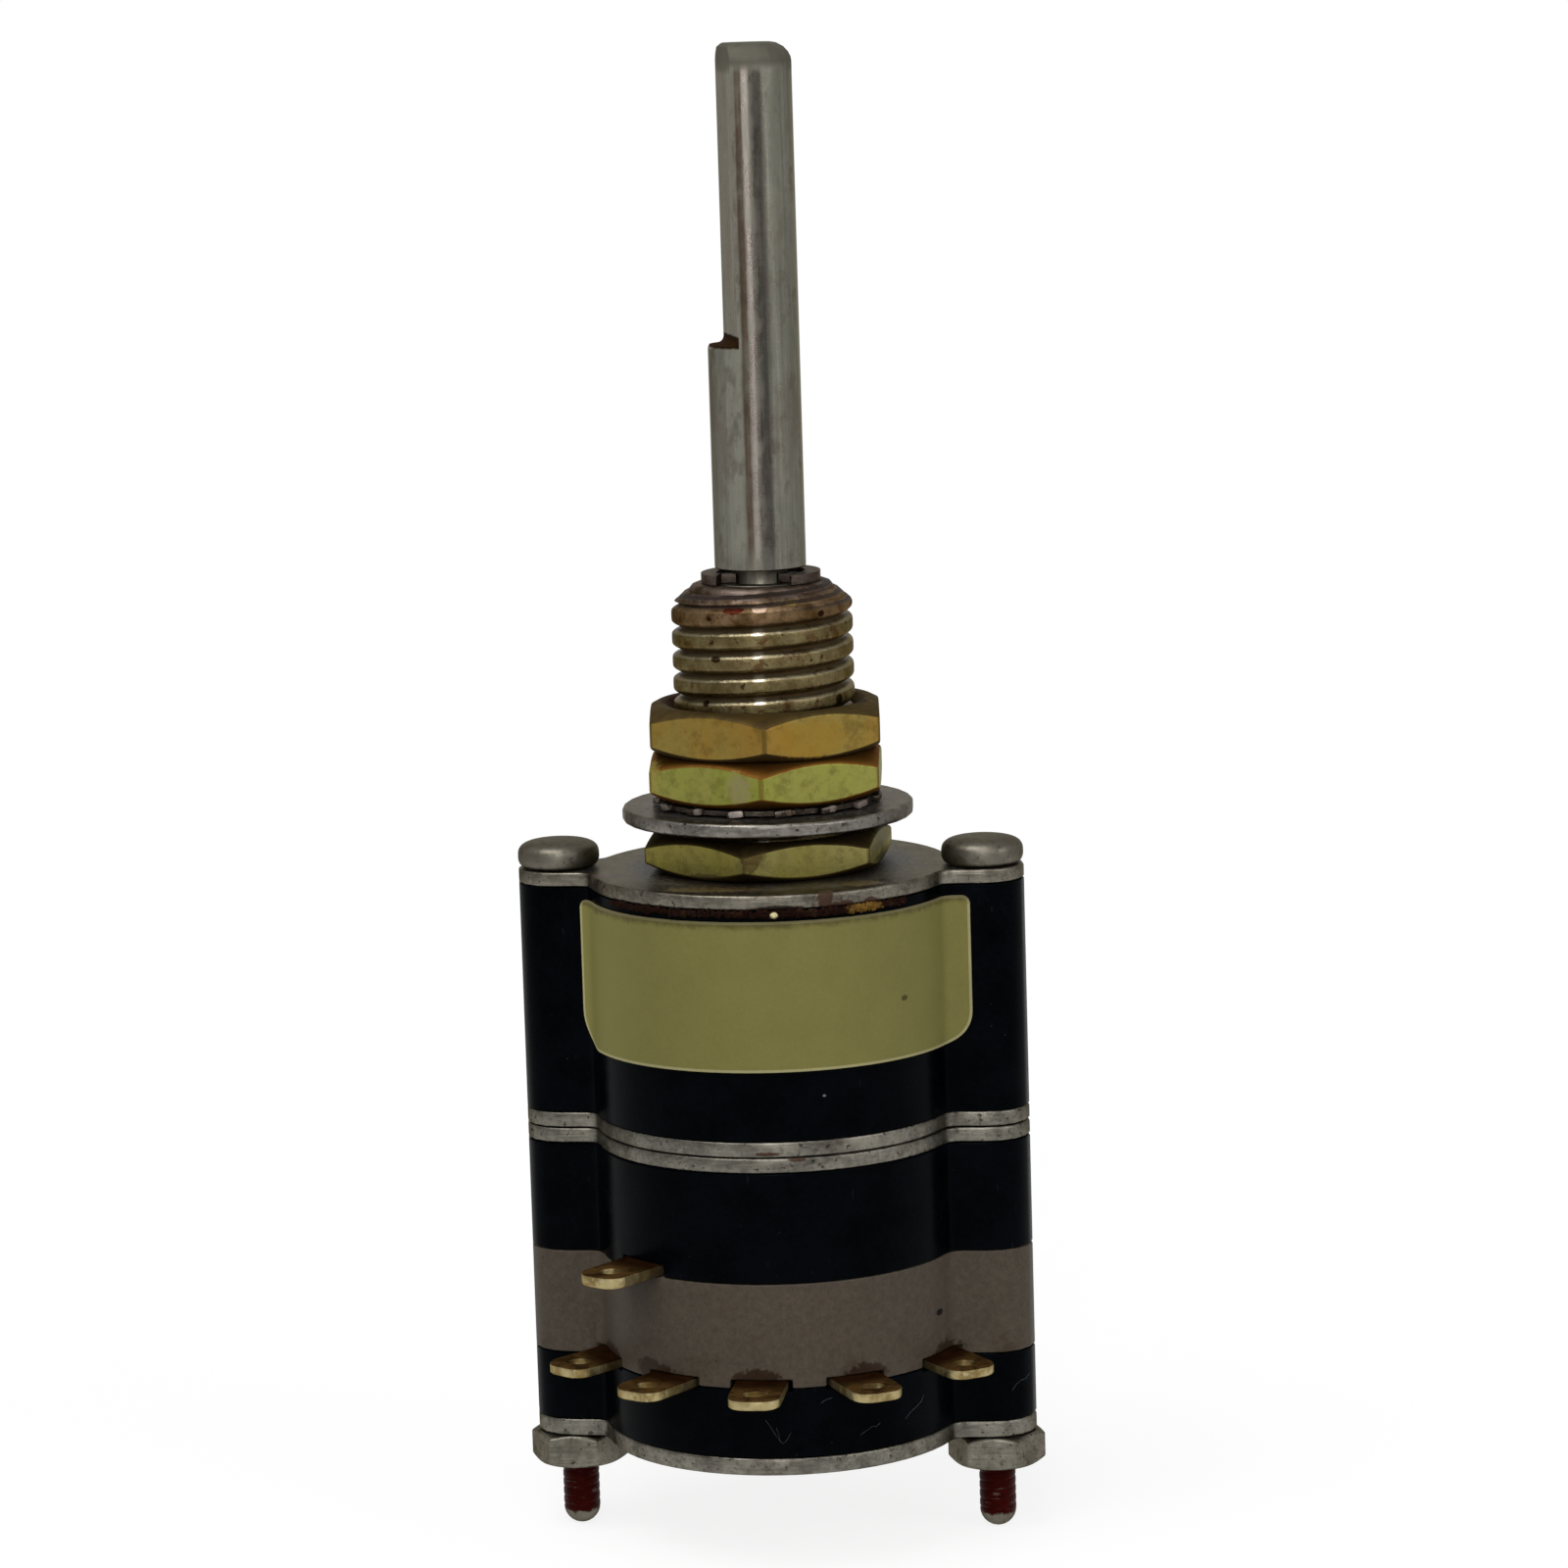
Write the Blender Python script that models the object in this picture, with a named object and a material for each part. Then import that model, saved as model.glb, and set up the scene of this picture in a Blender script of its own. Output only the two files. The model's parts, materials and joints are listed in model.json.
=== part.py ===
"""Half-inch rotary switch: a detent section over one ten-way switch deck.

The pieces are stacked on one axis and clamped between a top plate and a bottom plate
by two tie bolts, which pass through a pair of ears on every layer. A threaded bushing
stands on the top plate and carries the nuts and washers that fix the switch in a panel.
The shaft turns in the bushing and drives the detent rotor and the contact rotor.

The origin is on the shaft's axis, in the top plate's upper face. +Z runs up the shaft,
and the front is -Y. An angle counts from the front, and is positive towards +X.
"""

import math

import bmesh
import bpy
from mathutils import Matrix, Vector

MM = 0.001

# Clearances
SEAM = 0.02 * MM                # between two faces that rest on each other
RUNNING = 0.04 * MM             # round the shaft, where it turns in a bore
THREAD_FIT = 0.03 * MM          # between a screw's crest and the bore of its nut
RUBBING = 0.03 * MM             # under a spring contact's tips
OVERCUT = 0.10 * MM             # how far a cutter runs past the face that it opens
WELD = 0.0001 * MM              # points nearer than this are one point
SHARP = math.radians(30)        # an edge that turns more than this is shaded sharp

# How finely round things are cut
ROUND = 36
MIDDLE_ROUND = 20               # bolts, tie nuts and the balls' bores
SMALL_ROUND = 14                # bolt holes, eyelets, balls and the stop pin
EAR_STEPS = 8
FILLET_STEPS = 3
BODY_STEPS = 24

# Plan of every layer: a round body with an ear for a tie bolt on each side
BODY_RADIUS = 6.35 * MM
EAR_RADIUS = 1.44 * MM
EAR_FILLET = 0.55 * MM
BOLT_OFFSET = 7.467 * MM        # from the switch's axis to a tie bolt's

# Heights of the layers, from the top down
TOP_PLATE_HEIGHT = 0.53 * MM
HOUSING_HEIGHT = 8.00 * MM
UPPER_DIVIDER_HEIGHT = 0.57 * MM
LOWER_DIVIDER_HEIGHT = 0.55 * MM
UPPER_WAFER_HEIGHT = 3.87 * MM
SPACER_HEIGHT = 3.69 * MM
LOWER_WAFER_HEIGHT = 2.44 * MM
BOTTOM_PLATE_HEIGHT = 0.64 * MM

HOUSING_TOP = -TOP_PLATE_HEIGHT
UPPER_DIVIDER_TOP = HOUSING_TOP - HOUSING_HEIGHT
LOWER_DIVIDER_TOP = UPPER_DIVIDER_TOP - UPPER_DIVIDER_HEIGHT
UPPER_WAFER_TOP = LOWER_DIVIDER_TOP - LOWER_DIVIDER_HEIGHT
SPACER_TOP = UPPER_WAFER_TOP - UPPER_WAFER_HEIGHT
LOWER_WAFER_TOP = SPACER_TOP - SPACER_HEIGHT
BOTTOM_PLATE_TOP = LOWER_WAFER_TOP - LOWER_WAFER_HEIGHT
STACK_BOTTOM = BOTTOM_PLATE_TOP - BOTTOM_PLATE_HEIGHT

# Bushing
BUSHING_RADIUS = 3.15 * MM      # over the thread's crests
BUSHING_REACH = 9.97 * MM       # above the top plate
BUSHING_CHAMFER = 0.65 * MM
FLANGE_RADIUS = 4.30 * MM       # under the top plate
FLANGE_HEIGHT = 0.70 * MM

# Shaft
SHAFT_RADIUS = 1.5875 * MM
SHAFT_REACH = 28.50 * MM        # above the top plate
SHAFT_CHAMFER = 0.40 * MM
FLAT_LENGTH = 10.40 * MM
FLAT_DEPTH = 0.79 * MM
FLAT_ANGLE = math.radians(-75)
GROOVE_RADIUS = 0.95 * MM
GROOVE_HEIGHT = 0.50 * MM
DRIVE_DEPTH = 0.48 * MM         # of the two flats that drive the rotors
JOURNAL_RADIUS = 1.05 * MM
JOURNAL_LENGTH = 2.00 * MM
JOURNAL_LIFT = 0.20 * MM        # of its shoulder above the lower wafer

# Retaining ring, with its mouth at the front
RING_RADIUS = 1.98 * MM
RING_POCKET_RADIUS = 1.46 * MM
RING_THICKNESS = 0.34 * MM
RING_MOUTH = math.radians(38)   # half of the mouth's angle
RING_PRONG = math.radians(34)   # angle that a prong takes

# Panel hardware
NUT_FLATS = 7.9375 * MM         # across flats
PANEL_NUT_HEIGHT = 1.55 * MM
DEPTH_NUT_HEIGHT = 1.37 * MM
NUT_COUNTERSINK = 0.24 * MM
NUT_CHAMFER_SLOPE = 0.45        # fall of the corner chamfer over its width
DEPTH_NUT_ANGLE = math.radians(-2)
PANEL_NUT_ANGLE = math.radians(5)
NUT_GAP = 0.04 * MM             # between the two panel nuts
WASHER_RADIUS = 5.08 * MM
WASHER_HEIGHT = 0.50 * MM
WASHER_LIFT = 0.36 * MM         # the washer hangs on the thread above the depth nut
LOCK_WASHER_RADIUS = 4.02 * MM
LOCK_WASHER_HEIGHT = 0.30 * MM
LOCK_TEETH = 10
LOCK_TOOTH_DEPTH = 0.42 * MM
LOCK_CREST = math.radians(14)   # angles that a tooth's tip and the gap beside it take
LOCK_ROOT = math.radians(12)

# Tie bolts and their nuts
BOLT_RADIUS = 0.645 * MM
BOLT_HOLE_RADIUS = 0.70 * MM
BOLT_TAIL = 3.52 * MM           # below the bottom plate
HEAD_RADIUS = 1.43 * MM
HEAD_HEIGHT = 0.97 * MM
HEAD_EDGE = 0.36 * MM           # height of its widest point
HEAD_UNDERCUT = 0.26 * MM       # that it draws in below that
HEAD_FULLNESS = 0.6             # power of the dome's curve: 1 is round, 0 is square
HEAD_STEPS = 4
END_STEPS = 4                   # in the profile of the bolt's round end
TIE_NUT_FLATS = 3.02 * MM
TIE_NUT_HEIGHT = 1.15 * MM
TIE_NUT_COUNTERSINK = 0.10 * MM

# Detent
POSITIONS = 10
PITCH = 2 * math.pi / POSITIONS
BALL_RADIUS = 0.75 * MM
BALL_ORBIT = 4.15 * MM          # from the axis to a ball's centre
BALL_PLAY = 0.05 * MM           # round a ball, in its bore and at the crests
SCALLOP_DEPTH = 0.20 * MM       # of the track's hollows beyond its crests
SCALLOP_ROOM = 0.10 * MM        # a scallop's radius over a ball's
CHAMBER_RADIUS = 5.20 * MM      # of the space under the detent track
ROTOR_RADIUS = 4.05 * MM
ROTOR_HEIGHT = 3.35 * MM
HUB_RADIUS = 2.45 * MM
HUB_DROP = 1.25 * MM            # of the hub and the stop arm below the rotor
HUB_WALL = 0.32 * MM            # between the shaft's bore and a ball's bore
THRUST_WASHER_RADIUS = 2.90 * MM
THRUST_WASHER_HEIGHT = 0.35 * MM
SPRING_WIRE = 0.09 * MM         # radius
SPRING_RADIUS = 0.50 * MM       # to the middle of the wire
SPRING_TURNS = 4
SPRING_STEPS = 10               # in one turn
STOP_PIN_RADIUS = 0.60 * MM
STOP_PIN_ORBIT = 3.40 * MM
STOP_PIN_REACH = 2.90 * MM      # above the upper divider plate
STOP_PLAY = math.radians(1)
STOP_ARM_TIP = 4.00 * MM

# Label on the housing
LABEL_THICKNESS = 0.07 * MM
LABEL_HEIGHT = 5.20 * MM
LABEL_DROP = 0.36 * MM          # below the housing's top edge
LABEL_LEFT = 0.03 * MM          # how far it runs on to the left ear's flank
LABEL_RIGHT = 0.55 * MM
LABEL_TOP_CORNER = 0.50 * MM
LABEL_BOTTOM_CORNER = 1.05 * MM
LABEL_STEPS = 40

# Terminals of the lower deck, from the front or the back towards an ear
TERMINAL_THICKNESS = 0.38 * MM
TERMINAL_WIDTH = 1.80 * MM
TERMINAL_SEAT = 0.08 * MM       # they lie this deep in the lower wafer
SLOT_CLEARANCE = 0.17 * MM      # beside a terminal
PAD_INNER = 4.00 * MM
KNEE_RADIUS = 5.30 * MM
TIP_RADIUS = 8.80 * MM
TIP_TUCK = 0.30 * MM            # a lug beside an ear would end this much nearer the axis
KNEE_TURN = 0.66                # angle of a knee over its station's, near the front
KNEE_GAIN = 0.30                # how much more for each radian further round
LUG_TURN = 1.11                 # lean of a lug over its station's angle, near the front
LUG_BEND = 0.486                # how much less for each radian further round
TIP_CORNER = 0.62 * MM
EYELET_RADIUS = 0.45 * MM
EYELET_INSET = 0.95 * MM        # from the tip
CAVITY_RADIUS = 5.00 * MM       # of the room for the contact rotor

# Common terminal of the deck
COMMON_THICKNESS = 0.42 * MM
COMMON_INNER = 2.20 * MM
COMMON_OUTER = 3.60 * MM
COMMON_ANGLE = math.radians(-30.7)
COMMON_OFFSET = 1.29 * MM       # its lug's centre line misses the axis by this much
COMMON_REACH = 8.75 * MM

# Contact rotor and wiper
CONTACT_ROTOR_RADIUS = 4.50 * MM
CONTACT_ROTOR_GAP = 0.04 * MM   # between the rotor and the wiper's leaves
WIPER_THICKNESS = 0.20 * MM
WIPER_WIDTH = 1.20 * MM
WIPER_INNER = 2.60 * MM
WIPER_BACK = 3.75 * MM
WIPER_OUTER = 4.75 * MM

SHAFT_BORE = SHAFT_RADIUS + RUNNING
DIVIDER_BORE = SHAFT_BORE + RUNNING
NUT_BORE = BUSHING_RADIUS + THREAD_FIT
TERMINAL_BOTTOM = LOWER_WAFER_TOP - TERMINAL_SEAT
TERMINAL_TOP = TERMINAL_BOTTOM + TERMINAL_THICKNESS
COMMON_BOTTOM = SPACER_TOP + SEAM
ROTOR_TOP = HOUSING_TOP - 3 * SEAM - FLANGE_HEIGHT - THRUST_WASHER_HEIGHT
ROTOR_BOTTOM = ROTOR_TOP - ROTOR_HEIGHT
TRACK_RADIUS = BALL_ORBIT + BALL_RADIUS + BALL_PLAY
TRACK_BOTTOM = ROTOR_BOTTOM + BALL_PLAY
STATIONS = [(k + 1 - POSITIONS // 2) * PITCH for k in range(POSITIONS)]


def polar(radius, angle):
    """A point in plan, at this angle from the front."""
    return Vector((radius * math.sin(angle), -radius * math.cos(angle)))


def arc(radius, start, end, steps, centre=(0.0, 0.0)):
    """Points in plan along an arc, both ends included."""
    middle = Vector(centre)
    turn = (end - start) / steps
    return [middle + polar(radius, start + turn * i) for i in range(steps + 1)]


def circle(radius, steps=ROUND, centre=(0.0, 0.0)):
    return arc(radius, 0, 2 * math.pi, steps, centre)[:-1]


def clear_scene():
    for obj in list(bpy.data.objects):
        bpy.data.objects.remove(obj)


def material(name, colour, metallic, roughness):
    """A Principled material, made once for each name."""
    found = bpy.data.materials.get(name)
    if found is None:
        found = bpy.data.materials.new(name)
        found.use_nodes = True
        shader = found.node_tree.nodes["Principled BSDF"]
        shader.inputs["Base Color"].default_value = (*colour, 1)
        shader.inputs["Metallic"].default_value = metallic
        shader.inputs["Roughness"].default_value = roughness
        found.diffuse_color = (*colour, 1)
    return found


def zinc_yellow():
    return material("zinc_yellow", (0.42, 0.32, 0.10), 0.9, 0.40)


def plate_steel():
    return material("plate_steel", (0.38, 0.37, 0.35), 1.0, 0.35)


def shaft_steel():
    return material("shaft_steel", (0.36, 0.36, 0.33), 1.0, 0.30)


def spring_steel():
    return material("spring_steel", (0.22, 0.20, 0.19), 1.0, 0.35)


def nickel_brass():
    return material("nickel_brass", (0.32, 0.28, 0.18), 1.0, 0.35)


def gold_plate():
    return material("gold_plate", (0.55, 0.36, 0.10), 1.0, 0.30)


def black_moulding():
    return material("black_moulding", (0.010, 0.013, 0.018), 0.0, 0.25)


def grey_moulding():
    return material("grey_moulding", (0.10, 0.085, 0.08), 0.0, 0.50)


def natural_moulding():
    return material("natural_moulding", (0.55, 0.52, 0.45), 0.0, 0.45)


def label_paper():
    return material("label_paper", (0.33, 0.30, 0.12), 0.0, 0.60)


def finish(name, bm, look, parent, height=0.0, angle=0.0):
    """Makes one object of the mesh, at this height on its parent's axis."""
    bmesh.ops.remove_doubles(bm, verts=bm.verts, dist=WELD)
    bmesh.ops.recalc_face_normals(bm, faces=bm.faces)
    mesh = bpy.data.meshes.new(name)
    bm.to_mesh(mesh)
    bm.free()
    mesh.shade_smooth()
    mesh.set_sharp_from_angle(angle=SHARP)
    if look is not None:
        mesh.materials.append(look)
    obj = bpy.data.objects.new(name, mesh)
    bpy.context.collection.objects.link(obj)
    obj.parent = parent
    obj.location.z = height
    obj.rotation_euler.z = angle
    return obj


def combine(target, bm, operation="DIFFERENCE"):
    """Cuts the mesh away from the target, adds it, or keeps only what both hold."""
    number = len(target.modifiers) + 1
    tool = finish(f"{target.name}_tool_{number}", bm, None, target)
    tool.hide_render = True
    tool.display_type = "WIRE"
    modifier = target.modifiers.new(f"combine_{number}", "BOOLEAN")
    modifier.operation = operation
    modifier.solver = "EXACT"
    modifier.object = tool


def add_loop(bm, points, height):
    verts = [bm.verts.new((p[0], p[1], height)) for p in points]
    return [bm.edges.new((verts[i - 1], verts[i])) for i in range(len(verts))]


def add_prism(bm, outline, bottom, top, holes=()):
    """Adds a flat plate of this outline, with holes, between two heights."""
    edges = add_loop(bm, outline, bottom)
    for hole in holes:
        edges += add_loop(bm, hole, bottom)
    filled = bmesh.ops.triangle_fill(bm, edges=edges, use_beauty=True, normal=(0, 0, 1))
    faces = [item for item in filled["geom"] if isinstance(item, bmesh.types.BMFace)]
    raised = bmesh.ops.extrude_face_region(bm, geom=faces)
    verts = [item for item in raised["geom"] if isinstance(item, bmesh.types.BMVert)]
    bmesh.ops.translate(bm, verts=verts, vec=(0, 0, top - bottom))


def prism(outline, bottom, top, holes=()):
    bm = bmesh.new()
    add_prism(bm, outline, bottom, top, holes)
    return bm


def turned(profile, steps=ROUND):
    """Spins (radius, height) points about Z. A profile that starts on the axis is open."""
    bm = bmesh.new()
    verts = [bm.verts.new((0, -radius, height)) for radius, height in profile]
    edges = [bm.edges.new(pair) for pair in zip(verts, verts[1:])]
    if profile[0][0] > 0:
        edges.append(bm.edges.new((verts[-1], verts[0])))
    bmesh.ops.spin(
        bm,
        geom=verts + edges,
        axis=(0, 0, 1),
        cent=(0, 0, 0),
        steps=steps,
        angle=2 * math.pi,
        use_merge=True,
    )
    return bm


def box(low, high):
    size = Vector(high) - Vector(low)
    middle = (Vector(high) + Vector(low)) / 2
    bm = bmesh.new()
    place = Matrix.Translation(middle) @ Matrix.Diagonal((*size, 1))
    bmesh.ops.create_cube(bm, size=1, matrix=place)
    return bm


def forward_rod(radius, start, end, height):
    """A round rod that lies along -Y at this height."""
    bm = bmesh.new()
    middle = Matrix.Translation((0, -(start + end) / 2, height))
    bmesh.ops.create_cone(
        bm,
        cap_ends=True,
        segments=MIDDLE_ROUND,
        radius1=radius,
        radius2=radius,
        depth=end - start,
        matrix=middle @ Matrix.Rotation(math.pi / 2, 4, "X"),
    )
    return bm


def forward_ball():
    """A detent ball at its distance along -Y."""
    bm = bmesh.new()
    bmesh.ops.create_uvsphere(
        bm,
        u_segments=SMALL_ROUND,
        v_segments=SMALL_ROUND // 2,
        radius=BALL_RADIUS,
        matrix=Matrix.Translation((0, -BALL_ORBIT, 0)),
    )
    return bm


def turn(bm, angle):
    bmesh.ops.rotate(bm, verts=bm.verts, matrix=Matrix.Rotation(angle, 3, "Z"))
    return bm


def ear_fillet(grow):
    """Radius and centre of the hollow corner at the front right, and the body's lean there."""
    radius = EAR_FILLET - grow
    across = EAR_RADIUS + EAR_FILLET
    along = math.sqrt((BODY_RADIUS + EAR_FILLET) ** 2 - across**2)
    return radius, Vector((along, -across)), math.atan2(along, across)


def front_path(grow, left, right, steps):
    """The outline's front, grown outwards, from one ear's flank to the other's.

    It starts and ends on the straight flanks, this far beyond the hollow corners.
    """
    radius, centre, lean = ear_fillet(grow)
    mirrored = (-centre.x, centre.y)
    flank = -(EAR_RADIUS + grow)
    path = [Vector((-centre.x - left, flank))]
    path += arc(radius, math.pi, math.pi - lean, FILLET_STEPS, mirrored)
    path += arc(BODY_RADIUS + grow, -lean, lean, steps)[1:-1]
    path += arc(radius, math.pi + lean, math.pi, FILLET_STEPS, centre)
    path.append(Vector((centre.x + right, flank)))
    return path


def body_outline():
    """A round body with two half-round ears on straight flanks, joined by hollow corners."""
    front = front_path(0, 0, 0, BODY_STEPS)[1:-1]
    ear = arc(EAR_RADIUS, 0, math.pi, EAR_STEPS, (BOLT_OFFSET, 0))
    back = [Vector((-p.x, -p.y)) for p in front]
    other_ear = [Vector((-p.x, -p.y)) for p in ear]
    return front + ear + back + other_ear


def bolt_holes():
    return [circle(BOLT_HOLE_RADIUS, SMALL_ROUND, (side * BOLT_OFFSET, 0)) for side in (-1, 1)]


def layer(name, top, height, look, parent, holes):
    """A layer of the stack. Its underside stays a seam's width above the next one."""
    mesh = prism(body_outline(), SEAM, height, bolt_holes() + list(holes))
    return finish(name, mesh, look, parent, top - height)


def double_flat(grow):
    """The driving part of the shaft, in plan: round, with flats to the front and back."""
    radius = SHAFT_RADIUS + grow
    flat = SHAFT_RADIUS - DRIVE_DEPTH + grow
    edge = math.acos(flat / radius)
    side = arc(radius, edge, math.pi - edge, SMALL_ROUND)
    return side + [Vector((-p.x, -p.y)) for p in side]


def detent_track():
    """The housing's inner wall at the balls: round crests, with a scallop at each position."""
    scallop = BALL_RADIUS + SCALLOP_ROOM
    centre = TRACK_RADIUS + SCALLOP_DEPTH - scallop
    half = math.acos((centre**2 + TRACK_RADIUS**2 - scallop**2) / (2 * centre * TRACK_RADIUS))
    reach = math.asin(TRACK_RADIUS * math.sin(half) / scallop)
    points = []
    for station in STATIONS:
        hollow = arc(scallop, station - reach, station + reach, 6, polar(centre, station))
        crest = arc(TRACK_RADIUS, station + half, station + PITCH - half, 5)
        points += hollow + crest[1:-1]
    return points


def mirrored_profile(half, height):
    """A turned profile that is the same from both ends of a piece of this height."""
    return half + [(radius, height - level) for radius, level in reversed(half)]


def shape_nut(nut, flats, height, bore, countersink, steps):
    """Turns down a hexagon prism's corners on both faces, and bores it with countersinks."""
    corner = flats / math.sqrt(3)
    fall = (corner - flats / 2) * NUT_CHAMFER_SLOPE
    start = flats / 2 - OVERCUT / NUT_CHAMFER_SLOPE
    cone = mirrored_profile([(0, -OVERCUT), (start, -OVERCUT), (corner, fall)], height)
    combine(nut, turned(cone, steps), "INTERSECT")
    mouth = (bore + countersink + OVERCUT, -OVERCUT)
    hole = mirrored_profile([(0, -OVERCUT), mouth, (bore, countersink)], height)
    combine(nut, turned(hole, steps))


def hexagon(flats, height):
    """A hexagon prism with a corner to the front."""
    return prism(circle(flats / math.sqrt(3), 6), 0, height)


def lug_line(station):
    """The line of this station's lug, as if it were in the front right quarter.

    It gives the station's angle there, the knee, the tip and the lug's lean.
    """
    folded = min(abs(station), math.pi - abs(station))
    lean = folded * (LUG_TURN - LUG_BEND * folded)
    along = polar(1, lean)
    knee = polar(KNEE_RADIUS, folded * (KNEE_TURN + KNEE_GAIN * folded))
    reach = TIP_RADIUS - TIP_TUCK * math.sin(folded) ** 2
    ahead = knee.dot(along)
    tip = knee + along * (math.sqrt(ahead**2 + reach**2 - KNEE_RADIUS**2) - ahead)
    return folded, knee, tip, lean


def terminal_outline(station, grow):
    """A terminal in plan: a contact pad on its station, a knee, and a lug turned off the ear."""
    folded, knee, tip, lean = lug_line(station)
    half = TERMINAL_WIDTH / 2 + grow
    corner = TIP_CORNER + grow
    along = polar(1, lean)
    tip += along * grow
    start = polar(PAD_INNER - grow, folded)
    inward = (knee - start).normalized()
    across = Vector((-along.y, along.x))
    first = Vector((-inward.y, inward.x))
    mitre = (across + first).normalized()
    mitre *= half / mitre.dot(first)
    end = tip - along * corner
    points = [start - first * half, start + first * half, knee + mitre]
    points += arc(corner, lean + math.pi / 2, lean, 5, end + across * (half - corner))
    points += arc(corner, lean, lean - math.pi / 2, 5, end - across * (half - corner))
    points.append(knee - mitre)
    return [on_station(p, station) for p in points]


def on_station(point, station):
    """Moves a point of the front right quarter into the quarter of this station."""
    side = math.copysign(1, station)
    depth = -1 if abs(station) > math.pi / 2 else 1
    return Vector((point.x * side, point.y * depth))


def terminal_eyelet(station):
    _, _, tip, lean = lug_line(station)
    centre = tip - polar(EYELET_INSET, lean)
    return circle(EYELET_RADIUS, SMALL_ROUND, on_station(centre, station))


def terminal_room():
    """The slots that the terminals lie in, with their clearance on every side."""
    bm = bmesh.new()
    for station in STATIONS:
        outline = terminal_outline(station, SLOT_CLEARANCE)
        add_prism(bm, outline, TERMINAL_BOTTOM - SEAM, TERMINAL_TOP + SEAM)
    return bm


def common_outline(grow):
    """The common terminal in plan, its lug to the front: a disc with a lug off its axis."""
    radius = COMMON_OUTER + grow
    half = TERMINAL_WIDTH / 2 + grow
    corner = TIP_CORNER + grow
    left = -COMMON_OFFSET - half
    right = -COMMON_OFFSET + half
    end = -(COMMON_REACH + grow - corner)
    start = math.asin(right / radius)
    stop = math.asin(left / radius) + 2 * math.pi
    points = arc(radius, start, stop, ROUND)
    points += arc(corner, -math.pi / 2, 0, 5, (left + corner, end))
    points += arc(corner, 0, math.pi / 2, 5, (right - corner, end))
    return points


def make_fixed_frame(parent):
    """The plates, the bushing and the tie bolts that hold the stack together."""
    steel = plate_steel()
    hole = circle(DIVIDER_BORE)
    pin_hole = stop_pin_plan(SEAM)
    for name, top, height, holes in (
        ("top_plate", 0, TOP_PLATE_HEIGHT, [circle(BUSHING_RADIUS + SEAM)]),
        ("divider_plate_upper", UPPER_DIVIDER_TOP, UPPER_DIVIDER_HEIGHT, [hole, pin_hole]),
        ("divider_plate_lower", LOWER_DIVIDER_TOP, LOWER_DIVIDER_HEIGHT, [hole]),
        ("bottom_plate", BOTTOM_PLATE_TOP, BOTTOM_PLATE_HEIGHT, []),
    ):
        layer(name, top, height, steel, parent, holes)

    flange_top = HOUSING_TOP - SEAM
    bushing = [
        (SHAFT_BORE, BUSHING_REACH),
        (BUSHING_RADIUS - BUSHING_CHAMFER, BUSHING_REACH),
        (BUSHING_RADIUS, BUSHING_REACH - BUSHING_CHAMFER),
        (BUSHING_RADIUS, flange_top),
        (FLANGE_RADIUS, flange_top),
        (FLANGE_RADIUS, flange_top - FLANGE_HEIGHT),
        (SHAFT_BORE, flange_top - FLANGE_HEIGHT),
    ]
    finish("bushing", turned(bushing), nickel_brass(), parent)


def stop_pin_plan(grow):
    return circle(STOP_PIN_RADIUS + grow, SMALL_ROUND, polar(STOP_PIN_ORBIT, math.pi))


def quarter_turn(steps):
    return [math.pi / 2 * i / steps for i in range(steps + 1)]


def bolt_head():
    """Profile of a tie bolt's head, from the crown out over the dome and in to its seat."""
    dome = []
    for angle in quarter_turn(HEAD_STEPS):
        out = math.sin(angle) ** HEAD_FULLNESS
        up = max(math.cos(angle), 0) ** HEAD_FULLNESS
        dome.append((HEAD_RADIUS * out, HEAD_EDGE + (HEAD_HEIGHT - HEAD_EDGE) * up))
    under = []
    for angle in quarter_turn(HEAD_STEPS // 2)[1:]:
        out = HEAD_RADIUS - HEAD_UNDERCUT * (1 - math.cos(angle))
        under.append((out, SEAM + (HEAD_EDGE - SEAM) * (1 - math.sin(angle))))
    return dome + under


def make_tie_bolts(parent):
    """Domed bolts through the ears, with a hexagon nut under the bottom plate."""
    steel = plate_steel()
    tail = STACK_BOTTOM - BOLT_TAIL + BOLT_RADIUS
    tip = [polar(BOLT_RADIUS, -angle) for angle in quarter_turn(END_STEPS)]
    profile = bolt_head() + [(BOLT_RADIUS, SEAM)]
    profile += [(-point.x, tail + point.y) for point in reversed(tip)]
    bore = BOLT_RADIUS + THREAD_FIT
    for name, side in (("left", -1), ("right", 1)):
        bolt = finish(f"tie_bolt_{name}", turned(profile, MIDDLE_ROUND), steel, parent)
        bolt.location.x = side * BOLT_OFFSET
        plan = hexagon(TIE_NUT_FLATS, TIE_NUT_HEIGHT)
        bottom = STACK_BOTTOM - TIE_NUT_HEIGHT
        nut = finish(f"tie_nut_{name}", plan, steel, parent, bottom, math.pi / 6)
        nut.location.x = side * BOLT_OFFSET
        shape_nut(nut, TIE_NUT_FLATS, TIE_NUT_HEIGHT, bore, TIE_NUT_COUNTERSINK, MIDDLE_ROUND)


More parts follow.
